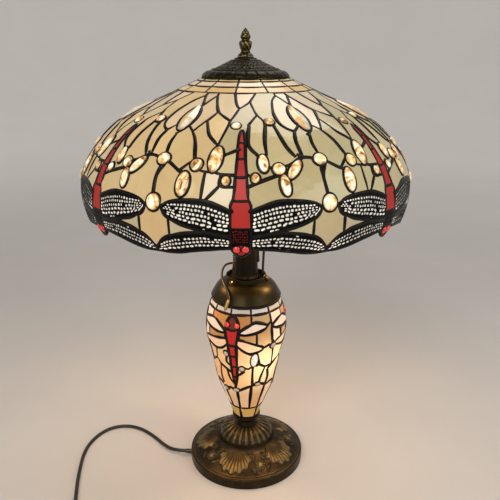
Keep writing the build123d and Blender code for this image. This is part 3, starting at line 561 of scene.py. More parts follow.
def cells_of(wall, lines, low, high, sector, wide, spacing=7.0):
    """The cells between lead lines, for one pane each.

    Returns the points, and for each cell its triangles, its angle from the front, its angle within its
    sector, its length down the wall and its middle."""
    points, triangles, cell_of = cut_cells(wall, lines, low, high, sector, wide, spacing)
    triangles = faced_out(wall, points, triangles)
    corner = wall.spots(points[:, 0], points[:, 1])[triangles]
    areas = np.linalg.norm(np.cross(corner[:, 1] - corner[:, 0], corner[:, 2] - corner[:, 0]), axis=1)
    middles, lengths = corner.mean(1), points[triangles][:, :, 1].mean(1)
    cells = []
    for cell in np.unique(cell_of):
        own = cell_of == cell
        weight = areas[own]
        if weight.sum() < SLIVER:
            continue
        place = (middles[own] * weight[:, None]).sum(0) / weight.sum()
        turn = (math.degrees(math.atan2(place[1], place[0])) - wall.front + 180) % 360 - 180
        s = (lengths[own] * weight).sum() / weight.sum()
        cells.append((triangles[own], turn, (turn + sector / 2) % sector - sector / 2, s, place))
    return points, cells


def pane(wall, points, faces, gathered, tint, thickness, tilt=0.3, flat=0.45, painted_glow=None):
    """One pane of glass: flattened a little between its leads and tipped a little, as cut glass sits.

    The last argument gives a place, its reach and the colour of a painted glow from a bulb inside, which the pane
    takes on near that place.
    """
    used, faces = np.unique(faces, return_inverse=True)
    faces = faces.reshape(-1, 3)
    spots = points[used]
    outer = wall.spots(spots[:, 0], spots[:, 1])
    middle = outer.mean(0)
    normal = wall.outward(spots[:, 0], spots[:, 1]).mean(0)
    normal /= np.linalg.norm(normal)
    across, down = across_and_down(normal)
    local = np.stack([(outer - middle) @ across, (outer - middle) @ down], 1)
    height = (outer - middle) @ normal
    reach = max(abs(local).max(), 1e-4)
    lean = (local @ np.array([random.uniform(-1, 1), random.uniform(-1, 1)])) / reach * tilt * MM
    shift = np.clip(-height * 0.6 + lean, -flat * MM, flat * MM)
    outer = outer + normal * shift[:, None]
    inner = outer - wall.outward(spots[:, 0], spots[:, 1]) * thickness * MM
    turn = random.uniform(0, math.tau)
    spin = np.array([[math.cos(turn), -math.sin(turn)], [math.sin(turn), math.cos(turn)]])
    offset = np.array([random.uniform(0, 4), random.uniform(0, 4)])
    grain = np.hstack([local @ spin + offset, np.zeros((len(local), 1))])
    both, closed = shell(outer, inner, [tuple(face) for face in faces])
    # Painted light: near the place the pane's colour is blended towards the bulb's glow colour.
    if painted_glow:
        place, reach, glow = painted_glow
        near = np.exp(-(np.linalg.norm(both - place, axis=1) / reach) ** 2)[:, None]
        tint = np.array(tint) * (1 - near) + np.array(glow) * near
    gathered.add(both, closed, tint, np.vstack([grain, grain]))


def came(wall, line, half_width, gathered, depth, half_height, wobble=0.14, closed=False, sides=8):
    """A soldered lead line along a line on the wall, a little uneven."""
    line = np.asarray(line)
    if closed:
        line = line[:-1]
    centre = wall.spots(line[:, 0], line[:, 1], depth)
    out = wall.outward(line[:, 0], line[:, 1])
    along = (np.roll(centre, -1, 0) - np.roll(centre, 1, 0)) if closed else np.gradient(centre, axis=0)
    along /= np.linalg.norm(along, axis=1)[:, None] + 1e-12
    side = np.cross(out, along)
    side /= np.linalg.norm(side, axis=1)[:, None] + 1e-12
    count = len(line)
    knots = [random.uniform(-1, 1) for _ in range(count // 3 + 3)]
    uneven = 1 + wobble * np.interp(np.arange(count) / 3, np.arange(len(knots)), knots)
    if closed:
        uneven[-3:] = (uneven[-3:] + uneven[0]) / 2
    turn = np.arange(sides) * math.tau / sides + math.pi / sides
    over, up = np.cos(turn), np.sin(turn)
    over, up = np.sign(over) * abs(over) ** 0.8, np.sign(up) * abs(up) ** 0.8
    rings = (centre[:, None] + side[:, None] * (uneven[:, None] * half_width * MM * over)[..., None]
             + out[:, None] * (half_height * MM * up)[None, :, None])
    last = count if closed else count - 1
    faces = ring_faces(last, sides, count)
    if not closed:
        faces += [tuple(range(sides))[::-1], tuple((count - 1) * sides + k for k in range(sides))]
    gathered.add(rings.reshape(-1, 3), faces)


def blob(wall, spot, radius, gathered, depth, half_height, sides=10):
    """A puddle of solder where lines meet."""
    out = wall.outward(*spot)
    across, down = across_and_down(out)
    centre = wall.spots(*spot, depth)
    spots = [centre + out * half_height * MM]
    for level in (0.55, 0.0, -0.55):
        size = radius * math.sqrt(1 - level ** 2) * random.uniform(0.92, 1.1)
        for k in range(sides):
            turn = k * math.tau / sides
            spots.append(centre + (across * math.cos(turn) + down * math.sin(turn)) * size * MM
                         + out * level * half_height * MM)
    spots.append(centre - out * half_height * MM)
    gathered.add(spots, ball_faces(3, sides))


def ellipse_line(wall, a, s, width, height, lean, count=28, grow=0.0, pointed=False):
    """The outline of a jewel of a size in mm, leaning by degrees, as (angle, length) points."""
    turn = np.linspace(0, math.tau, count + 1)
    x, y = (width / 2 + grow) * np.cos(turn), (height / 2 + grow) * np.sin(turn)
    if pointed:
        x = x * (1 - 0.25 * np.sin(turn) ** 4)
    return leant(wall, a, s, x, -y, -math.radians(lean))


def jewel(wall, outline, centre, rise, gathered, tint, thickness, ridge=False, rings=7):
    """A domed jewel on the wall inside an outline, or one with a ridge along it."""
    outline = outline[:-1]
    count = len(outline)
    spots, lift = [], []
    shares = [math.sin(k / rings * math.pi / 2) for k in range(rings + 1)]
    for share in shares:
        spots.append(centre + (outline - centre) * share)
        if ridge:
            across = abs(outline[:, 0] - centre[0]) / max(abs(outline[:, 0] - centre[0]).max(), 1e-6)
            lift.append(rise * (1 - share * np.clip(0.35 + across, 0, 1)))
        else:
            lift.append(np.full(count, rise * math.sqrt(max(0, 1 - share ** 2))))
    spots, lift = np.vstack(spots), np.concatenate(lift)
    outer = wall.spots(spots[:, 0], spots[:, 1], -lift - 0.1)
    inner = wall.spots(spots[:, 0], spots[:, 1], thickness)
    # Painted shade: each jewel is darkened towards its edge, and the left face of a ridged jewel is painted deeper
    # amber and darker than its right face.
    tints = np.array(tint) * (1 - 0.6 * np.repeat(shares, count) ** 6)[:, None]
    if ridge:
        tints[spots[:, 0] < centre[0]] *= (1.0, 0.72, 0.40)
    faces = turned_out(wall, outer, ring_faces(rings, count), centre, count * 3)
    both, closed = shell(outer, inner, faces)
    gathered.add(both, closed, np.vstack([tints, tints]))


def eye(wall, place, size, rise, gathered, half_width, ring, count=28):
    """A ruby eye and the lead round it."""
    line = ellipse_line(wall, *place, size, size, 0, count)
    jewel(wall, line, place, rise, gathered, (1, 1, 1), GLASS)
    came(wall, line, half_width, ring, LEAD_DEPTH, LEAD_HEIGHT + 0.1, 0.1, True)


def inside_line(line, spots):
    """Which spots lie inside a closed line."""
    x, y = spots[:, 0], spots[:, 1]
    found = np.zeros(len(spots), bool)
    for (x1, y1), (x2, y2) in zip(line, np.roll(line, -1, 0)):
        if y1 == y2:
            continue
        cross = (y1 > y) != (y2 > y)
        found ^= cross & (x < (x2 - x1) * (y - y1) / (y2 - y1) + x1)
    return found


def pierced(wall, outline, holes, low, high, wide, spacing=6.0):
    """A thin plate on the wall with real holes, from low to high mm above the wall's outer face."""
    spots, edges = [], []
    for line in [outline, *holes]:
        first, count = len(spots), len(line)
        spots += [(a * wide, s) for a, s in line]
        edges += [(first + i, first + (i + 1) % count) for i in range(count)]
    box_low, box_high = outline.min(0), outline.max(0)
    grid = np.array([(a, s) for a in np.arange(box_low[0], box_high[0], spacing / wide)
                     for s in np.arange(box_low[1], box_high[1], spacing)])
    grid = grid[inside_line(outline, grid)]
    for hole in holes:
        grid = grid[~inside_line(hole, grid)]
    spots += [(a * wide, s) for a, s in grid]
    out = delaunay_2d_cdt([Vector(spot) for spot in spots], edges, [], 0, 1e-4)
    points = np.array([tuple(v) for v in out[0]]) / (wide, 1)
    faces = np.array([face for face in out[2] if len(face) == 3])
    middle = points[faces].mean(1)
    keep = inside_line(outline, middle)
    for hole in holes:
        near = keep & (abs(middle - hole.mean(0)) < np.ptp(hole, axis=0)).all(1)
        keep[near] &= ~inside_line(hole, middle[near])
    used, faces = np.unique(faced_out(wall, points, faces[keep]), return_inverse=True)
    points = points[used]
    outer = wall.spots(points[:, 0], points[:, 1], -high)
    inner = wall.spots(points[:, 0], points[:, 1], -low)
    return shell(outer, inner, [tuple(face) for face in faces.reshape(-1, 3)])


# ---- cords: on the table first, since everything else stands clear of them ----
def cord_curve(name, points, diameter, material):
    """A round cord on one smooth NURBS line through the room, from points in mm."""
    curve = bpy.data.curves.new(name, "CURVE")
    curve.dimensions = "3D"
    line = curve.splines.new("NURBS")
    line.points.add(len(points) - 1)
    for point, (x, y, z) in zip(line.points, points):
        point.co = (x * MM, y * MM, z * MM, 1)
    line.order_u = 3
    line.use_endpoint_u = True
    line.resolution_u = 6
    curve.bevel_depth = diameter / 2 * MM
    curve.bevel_resolution = 5
    curve.use_fill_caps = True
    curve.materials.append(material)
    obj = bpy.data.objects.new(name, curve)
    scene.collection.objects.link(obj)
    return obj


FLOOR = 2.8
PITCH = 5.5
route = [(-101.69, -6.47, 7.6), (-122.5, -3.5, 6.6), (-141, 16, 3.5), (-161, 40, FLOOR), (-184, 60.5, FLOOR),
         (-211, 71.5, FLOOR), (-238.5, 66, FLOOR), (-257, 46.5, FLOOR), (-267.5, 20, FLOOR), (-270.5, -7, FLOOR),
         (-267.5, -40, FLOOR), (-263, -73, FLOOR), (-256.5, -106, FLOOR), (-249.3, -139.5, FLOOR),
         (-243.8, -171, FLOOR)]
COIL = (-203, -177)
COIL_START = 190.6
TURN_POINTS = 16
TURNS = 7.22
for number in range(int(TURNS * TURN_POINTS) + 1):
    turns = number / TURN_POINTS
    inwards = sum(eased(turns, at, at + 0.25) for at in (0.85, 1.85, 2.85))
    outwards = sum(eased(turns, at, at + 0.25) for at in (5.1, 6.22))
    rise = eased(turns, 3.85, 4.1)
    radius = 39.25 - PITCH * inwards + 2.75 * rise + PITCH * outwards
    angle = math.radians(COIL_START + 360 * turns)
    route.append((COIL[0] + radius * math.cos(angle), COIL[1] + radius * math.sin(angle), FLOOR + 4.8 * rise))
route += [(-189, -213.2, 7.8), (-177, -213.6, 7.9), (-172.5, -213.5, 8)]
mains = cord_curve("mains_lead", route, 5.5, cord_vinyl)
dress(mains, "lamp", ["mains_cord", "mains_cord_coil", "mains_cord_tail"])

pull_route = [(-20.02, -1.75, 337), (-28.4, -2.9, 336.7), (-34, -5.8, 331.6), (-36.4, -10.6, 323.8),
              (-35.2, -17.4, 317), (-32.2, -25.8, 312.9), (-28.8, -34.4, 309), (-26, -42, 303.6),
              (-24.6, -48.4, 296.6)]
pull_cord = cord_curve("night_pull_cord", pull_route, 3.4, cord_vinyl)
dress(pull_cord, "lamp", ["night_light_pull_cord"])

lead_route = [(28.2, 8, 420), (27.9, 8.4, 384), (26.8, 8.2, 350), (25.4, 5.8, 325), (25, 3.4, 305)]
night_lead = cord_curve("night_lead", lead_route, 3.8, cord_vinyl)
dress(night_lead, "lamp", ["night_light_lead"])

# ---- the shade ----
DRAGONFLIES = 7
SECTOR = 360 / DRAGONFLIES
GLASS = 3.0
PROUD = 0.8
LEAD_DEPTH = GLASS / 2
LEAD_HEIGHT = GLASS / 2 + PROUD
WIDE = 3.3  # mm to a degree near the shade's rim
BRICK_LEAD, BODY_LEAD, PANE_LEAD, VASE_FINE_LEAD, VASE_LEAD = 1.85, 2.2, 2.6, 2.4, 2.85  # half widths
SOLDER, SOLDER_SHARE = 3.0, 0.75  # the radius of a solder puddle, and the share of lines that have them
PLATE_WIDE = 3.9  # mm to a degree at the wings
shade_wall = Wall([(58.7, 604.6), (99.8, 586.0), (138.8, 568.9), (177.7, 546.9), (208.0, 515.5), (226.6, 477.8),
                   (222.0, 425.9), (219.4, 418.6)], -91.0)
RIM = 275.6
UNDER_JEWEL = 0.3  # the share of a jewel's area, about its middle, in which no pane has its middle

# Lead lines of one sector, as angles from its dragonfly and lengths down the wall.
brick_joints = [[(a, 1.0), (a, 36.6)] for a in (-6.4, -6.4 + SECTOR / 2)]
upper_network = [
    [(-6.4, 36.6), (-5.4, 48), (-3.7, 65), (-1.9, 75.4)],
    [(9.1, 36.6), (6.3, 48), (4.1, 58.6)],
    [(4.1, 58.6), (1.3, 67), (-1.9, 75.4)],
    [(-1.9, 75.4), (-3.6, 90), (-5.1, 102)],
    [(-19.3, 36.6), (-18.8, 43.5)],
    [(-18.8, 43.5), (-21.4, 55), (-24.2, 73.7)],
    [(-18.8, 43.5), (-15.6, 63), (-12.2, 83), (-8.6, 93), (-5.1, 102)],
    [(-24.2, 73.7), (-22.0, 93.8), (-22.2, 113.9), (-24.0, 124), (-26.1, 129)],
    [(-12.2, 83), (-15.6, 102.2), (-19.3, 124)],
    [(-22.2, 113.9), (-19.3, 124), (-16.7, 139), (-15.0, 162)],
    [(-15.6, 102.2), (-12.6, 125.6), (-9.0, 139.9)],
    [(-5.1, 102), (-5.9, 117), (-8.2, 144)],
    [(4.1, 58.6), (5.3, 75), (6.7, 90.5), (8.7, 101), (9.3, 110), (8.2, 134), (7.9, 156)],
    [(6.7, 90.5), (2.6, 108.9)],
    [(2.6, 108.9), (2.3, 125.6), (2.5, 144), (5.4, 157)],
    [(23.0, 36.6), (23.0, 43.5)],
    [(23.0, 43.5), (18.1, 57), (15.5, 77), (15.1, 93.8), (15.7, 107), (17.7, 117), (20.4, 123)],
    [(23.0, 43.5), (25.2, 54), (27.4, 67)],
    [(20.4, 123), (23.4, 113), (23.9, 106)],
    [(20.4, 123), (19.4, 139), (20.0, 160.8)],
    [(12.9, 110), (13.3, 118), (15.1, 144), (17.6, 161)],
    [(26.1, 128), (25.3, 142), (25.7, 158)],
]
middle_network = [
    [(-26.8, 160), (-19.3, 177.6), (-17.6, 180)],
    [(-19.3, 177.6), (-16.2, 168)],
    [(-26.0, 172), (-26.6, 186), (-26.4, 208)],
    [(-24.6, 167), (-19.3, 177.6)],
    [(-13.4, 176), (-10.8, 178), (-8.0, 177)],
    [(-10.8, 178), (-11.1, 191), (-11.3, 209.5)],
    [(-8.0, 178), (-5.9, 180.5), (-2.2, 181)],
    [(-5.9, 180.5), (-6.1, 193.5), (-1.9, 195)],
    [(-6.1, 193.5), (-10.0, 210)],
    [(-5.4, 156.6), (-0.8, 149)],
    [(1.8, 181), (3.4, 184)],
    [(1.7, 195), (6.0, 188), (10.8, 182), (12.0, 182)],
    [(6.5, 172), (9.7, 172), (14.6, 170), (19.5, 161), (24.4, 163)],
    [(27.0, 172), (25.2, 186), (25.4, 207)],
    [(19.3, 162), (18.6, 158)],
]
upper_wing_top = [(2.6, 221), (5.6, 216), (10.6, 210.4), (16.4, 211), (20.6, 214), (23.0, 218.8)]
upper_wing_low = [(2.6, 249), (6.8, 247), (11.6, 243.6), (17.2, 238), (21.4, 230.5), (23.0, 221.6)]
lower_wing_top = [(2.6, 251.5), (6.8, 248.2), (11.4, 246.6), (15.5, 248.4), (19.8, 251.6), (23.0, 258), (25.4, 268)]
lower_wing_low = [(2.6, 264.5), (6.2, 265.8), (10.4, 267.8), (14.4, 270.8), (18.3, 274), (22.2, 275.6), (25.4, 275)]
wing_lines = []
for side in (-1, 1):
    for top, low in ((upper_wing_top, upper_wing_low), (lower_wing_top, lower_wing_low)):
        for edge in (top, low):
            wing_lines.append([(a * side, s) for a, s in edge])
        wing_lines.append([(a * side, s) for a, s in (top[-1], low[-1])])
    wing_lines.append([(side * 20.6, 232), (side * 20.6, 252.5)])
    wing_lines.append([(side * 23.0, 220), (side * 24.6, 218.5)])
    wing_lines.append([(side * 25.4, 268), (side * SECTOR / 2, 268.5)])
body_lines = [
    [(-0.3, 118.8), (-0.9, 126), (-1.2, 142), (-1.3, 162), (-1.7, 184), (-2.1, 208), (-2.9, 215), (-2.9, 236),
     (-2.6, 250), (-2.6, 264.5)],
    [(0.3, 118.8), (0.9, 126), (1.2, 142), (1.3, 162), (1.7, 184), (2.1, 208), (2.9, 215), (2.9, 236), (2.6, 250),
     (2.6, 264.5)],
    [(-1.2, 139.8), (1.2, 139.8)], [(-1.4, 161.4), (1.4, 161.4)], [(-1.7, 183.8), (1.7, 183.8)],
    [(-2.2, 210), (2.2, 210)], [(-2.8, 240.5), (2.8, 240.5)],
    [(-2.7, 262), (0, 259.5), (2.7, 262)], [(-2.2, 269.6), (0, RIM), (2.2, 269.6)],
    [(-2.6, 264.5), (-2.2, 269.6), (0, 267.4), (2.2, 269.6), (2.6, 264.5)],
]
sector_lines = [smooth_line(line) for line in brick_joints + upper_network + middle_network + wing_lines + body_lines]

round_jewels = [(-2.5, 112, 11, 12, 0), (11.4, 104.5, 11, 12, 0), (4.2, 185, 9, 11, 0), (11.5, 174.5, 14, 14, 0),
                (-4.4, 188, 9, 11, 0), (-13.9, 170, 14, 15, 0), (25.7, 165, 16, 15, 0), (25.7, 216, 18, 19, 0)]
oval_jewels = [(6.8, 167, 11, 22, 4), (16.4, 175.5, 11, 27, -38), (12.9, 193.5, 11, 25, 6), (-8.1, 162, 15, 34, -8),
               (-17.2, 193, 15, 29, -4)]
leaf_jewels = [(26.3, 97, 19, 53, 0)]
jewel_lines = [ellipse_line(shade_wall, *jewel_place) for jewel_place in round_jewels + oval_jewels]
leaf_lines = [ellipse_line(shade_wall, *jewel_place, pointed=True) for jewel_place in leaf_jewels]
hoop_lengths = [1.0, 7.2, 21.0, 36.6]
hoop_a = np.arange(-SECTOR / 2, SECTOR / 2 + 0.01, SECTOR / 24)
hoops = [level_line(hoop_a, s) for s in hoop_lengths[1:]]
# The rim: under the wings and round the dragonfly's nose.
rim_shape = ([(-a, s) for a, s in reversed(lower_wing_low)] + [(-2.2, 269.6), (0, RIM), (2.2, 269.6)]
             + lower_wing_low)
rim_shape = np.array([(-SECTOR / 2, 274.9), *rim_shape, (SECTOR / 2, 274.9)])
met_lines = meet(sector_lines + jewel_lines + leaf_lines, SECTOR, WIDE)
points, cells = cells_of(shade_wall, met_lines + hoops, hoop_lengths[0], RIM + 0.8, SECTOR, WIDE)


def near_jewel(a, s, places):
    """True well inside one of the jewels of a sector."""
    for place_a, place_s, width, height, lean in places:
        for way in (-SECTOR, 0, SECTOR):
            over = math.radians(a - place_a + way) * shade_wall.radius(s)
            down = place_s - s
            tip = math.radians(lean)
            x = over * math.cos(tip) + down * math.sin(tip)
            y = down * math.cos(tip) - over * math.sin(tip)
            if (x / (width / 2)) ** 2 + (y / (height / 2)) ** 2 < UNDER_JEWEL:
                return True
    return False


def lit_colour(colour):
    """A colour as seen, from 0 to 255, in the renderer's own light."""
    return tuple((c / 255) ** 2.2 for c in colour)


def blend_colour(first, second, share):
    """A share of the way from the first colour to the second."""
    return tuple(a + (b - a) * share for a, b in zip(first, second))


CREAM, GOLD, BEIGE, GREYGREEN = (211, 185, 154), (206, 178, 131), (174, 163, 129), (170, 162, 134)
WHITISH, UNDER_WINGS = (200, 192, 172), (176, 170, 144)
BRICKS = [(212, 180, 128), (216, 192, 160), (208, 172, 116)]


def pane_colour(turn, a, s):
    """A pane's colour from its angle round the whole shade, the angle from its dragonfly and its length down."""
    # Left of the front the panes and bricks stay golden, right of it they turn beige and paler: partly the glass's
    # own colours, partly a painted warm glow on the left side.
    if s < hoop_lengths[3]:
        row = 0 if s < hoop_lengths[1] else 1 if s < hoop_lengths[2] else 2
        return blend_colour(BRICKS[row], (200, 192, 165), random.choice((0, 0, 0.15, 0.6)) if turn > 0 else 0.1)
    green = 0.5 + 0.5 * math.tanh((turn - 4) / 14) if abs(turn) < 120 else random.random()
    low = blend_colour(GOLD, BEIGE, green)
    high = blend_colour(CREAM, WHITISH, random.random() * 0.6 * green)
    colour = blend_colour(high, low, eased(s, 92, 112))
    tail = math.exp(-(a / 9) ** 2) * eased(s, 140, 185)
    colour = blend_colour(colour, GREYGREEN, 0.85 * tail)
    if s > 232 and abs(a) < 21:
        colour = blend_colour(colour, UNDER_WINGS, 0.7)
    share = random.uniform(0.94, 1.04)
    return tuple(c * share * random.uniform(0.99, 1.01) for c in colour)


kinds = {kind: Gathered() for kind in ("bricks", "upper", "middle", "rim", "wing", "red")}
for faces, turn, a, s, _ in cells:
    if points[faces][:, :, 1].max() > RIM + 0.6:
        continue
    if near_jewel(a, s, round_jewels + oval_jewels + leaf_jewels):
        continue
    spot = np.array([[abs(a), s]])
    wings = [inside_line(np.array(top + low[::-1]), spot)[0]
             for top, low in ((upper_wing_top, upper_wing_low), (lower_wing_top, lower_wing_low))]
    if abs(a) < (1.0 if s < 200 else 2.6) and s > 118:
        kind, tint = "red", lit_colour((164 + random.uniform(-12, 8), 27, 13))
    elif any(wings):
        kind, tint = "wing", lit_colour((226, 221, 218))
    else:
        kind = "bricks" if s < hoop_lengths[3] else "upper" if s < 117 else "middle" if s < 216 else "rim"
        tint = lit_colour(pane_colour(turn, a, s))
    pane(shade_wall, points, faces, kinds[kind], tint, GLASS)

for kind, name, glass, slot, node in (
        ("bricks", "shade_bricks", shade_glass, "amber_glass", "shade_brick_rows"),
        ("upper", "shade_upper", shade_glass, "cream_glass", "shade_upper_panels"),
        ("middle", "shade_middle", shade_glass, "cream_glass", "shade_middle_panels"),
        ("rim", "shade_rim", shade_glass, "cream_glass", "shade_rim_panels"),
        ("wing", "shade_wings", wing_glass, "wing_glass", "shade_wing_panels"),
        ("red", "dragonflies", red_glass, "red_glass", "dragonfly_bodies")):
    kinds[kind].piece(name, glass, slot, "shade", [node], smooth=False)

# Leading: every line of a sector, then the next sector.
leading = Gathered()
for turn in np.arange(DRAGONFLIES) * SECTOR:
    for index, line in enumerate(sector_lines):
        bricks = index < len(brick_joints)
        body = index >= len(sector_lines) - len(body_lines)
        width = BRICK_LEAD if bricks else BODY_LEAD if body else PANE_LEAD
        came(shade_wall, shifted(line, turn), width, leading, LEAD_DEPTH, LEAD_HEIGHT)
        if not bricks and not body and random.random() < SOLDER_SHARE:
            for end in (0, -1):
                blob(shade_wall, (line[end][0] + turn, line[end][1]), SOLDER, leading, LEAD_DEPTH, LEAD_HEIGHT + 0.1)
    for line in jewel_lines + leaf_lines:
        came(shade_wall, shifted(line, turn), PANE_LEAD, leading, LEAD_DEPTH, LEAD_HEIGHT + 0.15, 0.1, True)
full_turn = np.arange(0, 361, 2.5)
for s, width in zip(hoop_lengths, (1.7, 1.7, 1.9, 2.2)):
    came(shade_wall, level_line(full_turn, s), width, leading, LEAD_DEPTH, LEAD_HEIGHT, 0.1, True)
leading.piece("shade_lead", patina, "patina", "shade", ["shade_leading"])

rim_lead = Gathered()
rim_line = np.vstack([shifted(smooth_line(rim_shape[:-1], 4.0, WIDE)[:-1], way * SECTOR)
                      for way in range(DRAGONFLIES)])
came(shade_wall, np.vstack([rim_line, rim_line[:1]]), 1.5, rim_lead, LEAD_DEPTH, LEAD_HEIGHT, 0.08, True)
rim_lead.piece("rim_wire", patina, "patina", "shade", ["shade_rim_wire"])

# Jewels.
for name, places, lines, rise, material, node in (
        ("shade_round_jewels", round_jewels, jewel_lines[:len(round_jewels)], 3.0, jewel_glass, "round_jewels"),
        ("shade_oval_jewels", oval_jewels, jewel_lines[len(round_jewels):], 3.0, jewel_glass, "oval_jewels"),
        ("shade_leaf_jewels", leaf_jewels, leaf_lines, 3.2, leaf_glass, "leaf_jewels")):
    gathered = Gathered()
    for way in range(DRAGONFLIES):
        for place, line in zip(places, lines):
            jewel(shade_wall, shifted(line, way * SECTOR), (place[0] + way * SECTOR, place[1]), rise, gathered,
                  (1, 1, 1), GLASS, ridge=material is leaf_glass)
    gathered.piece(name, material, "jewel_glass", "shade", [node], smooth=material is not leaf_glass)

eyes, eye_rings = Gathered(), Gathered()
for way in range(DRAGONFLIES):
    for side in (-1, 1):
        eye(shade_wall, (side * 1.25 + way * SECTOR, 265.4), 8.6, 3.0, eyes, 0.8, eye_rings)
eyes.piece("dragonfly_ruby_eyes", ruby_glass, "ruby_glass", "shade", ["dragonfly_eyes"])
eye_rings.piece("eye_rings", patina, "patina", "shade")


# Etched wings: real holes through a black plate that lies on the glass.
def slot_hole(a, s, long, tall, lean):
    """A rounded slot in a wing, as (angle, length) points."""
    turn = np.arange(8) * math.tau / 8 + math.pi / 8
    x = long / 2 * np.sign(np.cos(turn)) * abs(np.cos(turn)) ** 0.6
    y = tall / 2 * np.sign(np.sin(turn)) * abs(np.sin(turn)) ** 0.6
    return leant(shade_wall, a, s, x, y, lean)


def wing_holes(top, low, side, rows, margin):
    """Slots in rows along a wing, small near its front edge and longer near its back edge."""
    share = np.linspace(0, 1, 200)
    top_at, low_at = (np.stack([np.interp(share, np.linspace(0, 1, len(line)), column) for column in line.T], 1)
                      for line in (smooth_line(top, 1.5, PLATE_WIDE), smooth_line(low, 1.5, PLATE_WIDE)))
    outline = np.array([*top, *low[::-1]], float)
    holes = []
    for row in range(rows):
        across = (row + 0.5) / rows
        middle = top_at + (low_at - top_at) * across
        gaps = np.hypot(*(np.diff(middle, axis=0) * (PLATE_WIDE, 1)).T)
        walked = np.concatenate([[0], np.cumsum(gaps)])
        at = margin + random.uniform(0, 2)
        while at < walked[-1] - margin:
            long = random.uniform(2.3, 3.9) + (2.4 if across > 0.6 else 0) * random.random()
            index = min(np.searchsorted(walked, at + long / 2), len(middle) - 2)
            tall_room = abs(low_at[index, 1] - top_at[index, 1]) / rows
            a, s = middle[index]
            run = (middle[index + 1] - middle[index]) * (PLATE_WIDE, 1)
            lean = math.atan2(run[1], run[0]) + random.gauss(0, 0.26)
            tall = min(tall_room * 0.68, 2.9) * random.uniform(0.85, 1.08)
            if tall > 0.75 and random.random() > 0.04:
                hole = slot_hole(a, s + random.uniform(-0.45, 0.45), long, tall, lean)
                grown = slot_hole(a, s, long + margin, tall + margin * 0.9, lean)
                if inside_line(outline, grown).all():
                    holes.append(hole * (side, 1))
            at += long + random.uniform(0.9, 1.4)
    return holes


def plates_round(outline, holes, high):
    """The same pierced plate on each of the seven dragonflies."""
    both, faces = pierced(shade_wall, outline, holes, 0.1, high, PLATE_WIDE)
    for turn in np.radians(np.arange(DRAGONFLIES) * SECTOR):
        spin = np.array([[math.cos(turn), -math.sin(turn), 0], [math.sin(turn), math.cos(turn), 0], [0, 0, 1]])
        filigree.add(both @ spin.T, faces)


filigree = Gathered()
for side in (-1, 1):
    for top, low, rows in ((upper_wing_top, upper_wing_low, 7), (lower_wing_top, lower_wing_low, 5)):
        outline = np.vstack([smooth_line(top, 3, WIDE), smooth_line(low, 3, WIDE)[::-1]]) * (side, 1)
        plates_round(outline, wing_holes(top, low, side, rows, 2.0), 0.6)
head_outline = np.array([(-2.7, 240.5), (2.7, 240.5), (2.6, 250), (2.6, 262), (0, 259.5), (-2.6, 262), (-2.6, 250)])
head_holes = []
for s in np.arange(243.4, 258, 3.1):
    for a in np.arange(-2.0, 2.1, 0.62):
        hole = slot_hole(a + random.uniform(-0.1, 0.1), s + random.uniform(-0.5, 0.5), random.uniform(1.2, 1.8),
                         random.uniform(1.3, 2.0), random.uniform(-0.6, 0.6))
        if inside_line(head_outline, hole + (0, 1.4)).all():
            head_holes.append(hole)
plates_round(head_outline, head_holes, 0.75)
filigree.piece("wing_plates", filigree_black, "patina", "shade", ["wing_filigree"], smooth=False)


# ---- the vase ----
VASE_FLIES = 3
VASE_SECTOR = 360 / VASE_FLIES
VASE_WIDE = 0.9
vase_wall = Wall([(19.4, 76.2), (27.6, 104.0), (42.5, 141.5), (49.7, 173.0), (55.2, 202.0), (60.4, 224.0),
                  (61.3, 247.5), (57.6, 267.0), (51.6, 284.6)], -110.0)
HEAD_TURN = 20.0  # the dragonfly stands this far round from the front, to the left


def on_vase(line):
    """Points of (angle seen from the front, height) as (angle from the dragonfly, length up the wall)."""
    return [(a + HEAD_TURN, float(vase_wall.length_at(z))) for a, z in line]


vase_top = [[(a, 275), (a, 284.2)] for a in (-53, -23, 8, 38)]
amber_joints = [[(-57, 263), (-57, 275)], [(8, 261), (8, 275)], [(38.5, 261), (38.5, 275)]]
vase_body = [
    [(-11, 236), (-10.5, 250), (-11, 262), (-14.5, 270), (-20, 273.5), (-25.5, 270), (-29, 262), (-29.5, 250),
     (-29, 236)],
    [(-29, 246), (-28.5, 240), (-26.5, 228), (-25.5, 208), (-25.2, 188), (-24, 170), (-20.5, 152)],
    [(-11, 246), (-11.5, 240), (-13.5, 228), (-14.5, 208), (-14.8, 188), (-16, 170), (-19.5, 152)],
    [(-26.5, 227), (-13.5, 227)], [(-25.5, 207.5), (-14.5, 207.5)], [(-25.2, 188), (-14.8, 188)],
    [(-24.2, 169.5), (-15.8, 169.5)], [(-29.3, 254), (-20, 252), (-10.7, 254)],
]
vase_wings = [
    [(-10.5, 248), (-2, 256), (11, 264), (22, 262.5), (31, 256.5), (20, 250), (6, 246.5), (-3, 246.5), (-10.5, 248)],
    [(-29.5, 248), (-38, 256), (-52, 264), (-66, 262), (-79, 255), (-66, 248.5), (-50, 246), (-38, 246.2),
     (-29.5, 248)],
    [(-11.5, 238), (0, 236), (14, 230), (25, 222.5), (16, 215.5), (5, 214), (-5, 220), (-12.5, 229)],
    [(-28.5, 238), (-42, 236), (-60, 233), (-76, 226.5), (-64, 219), (-50, 216), (-38, 219), (-27.5, 229)],
]
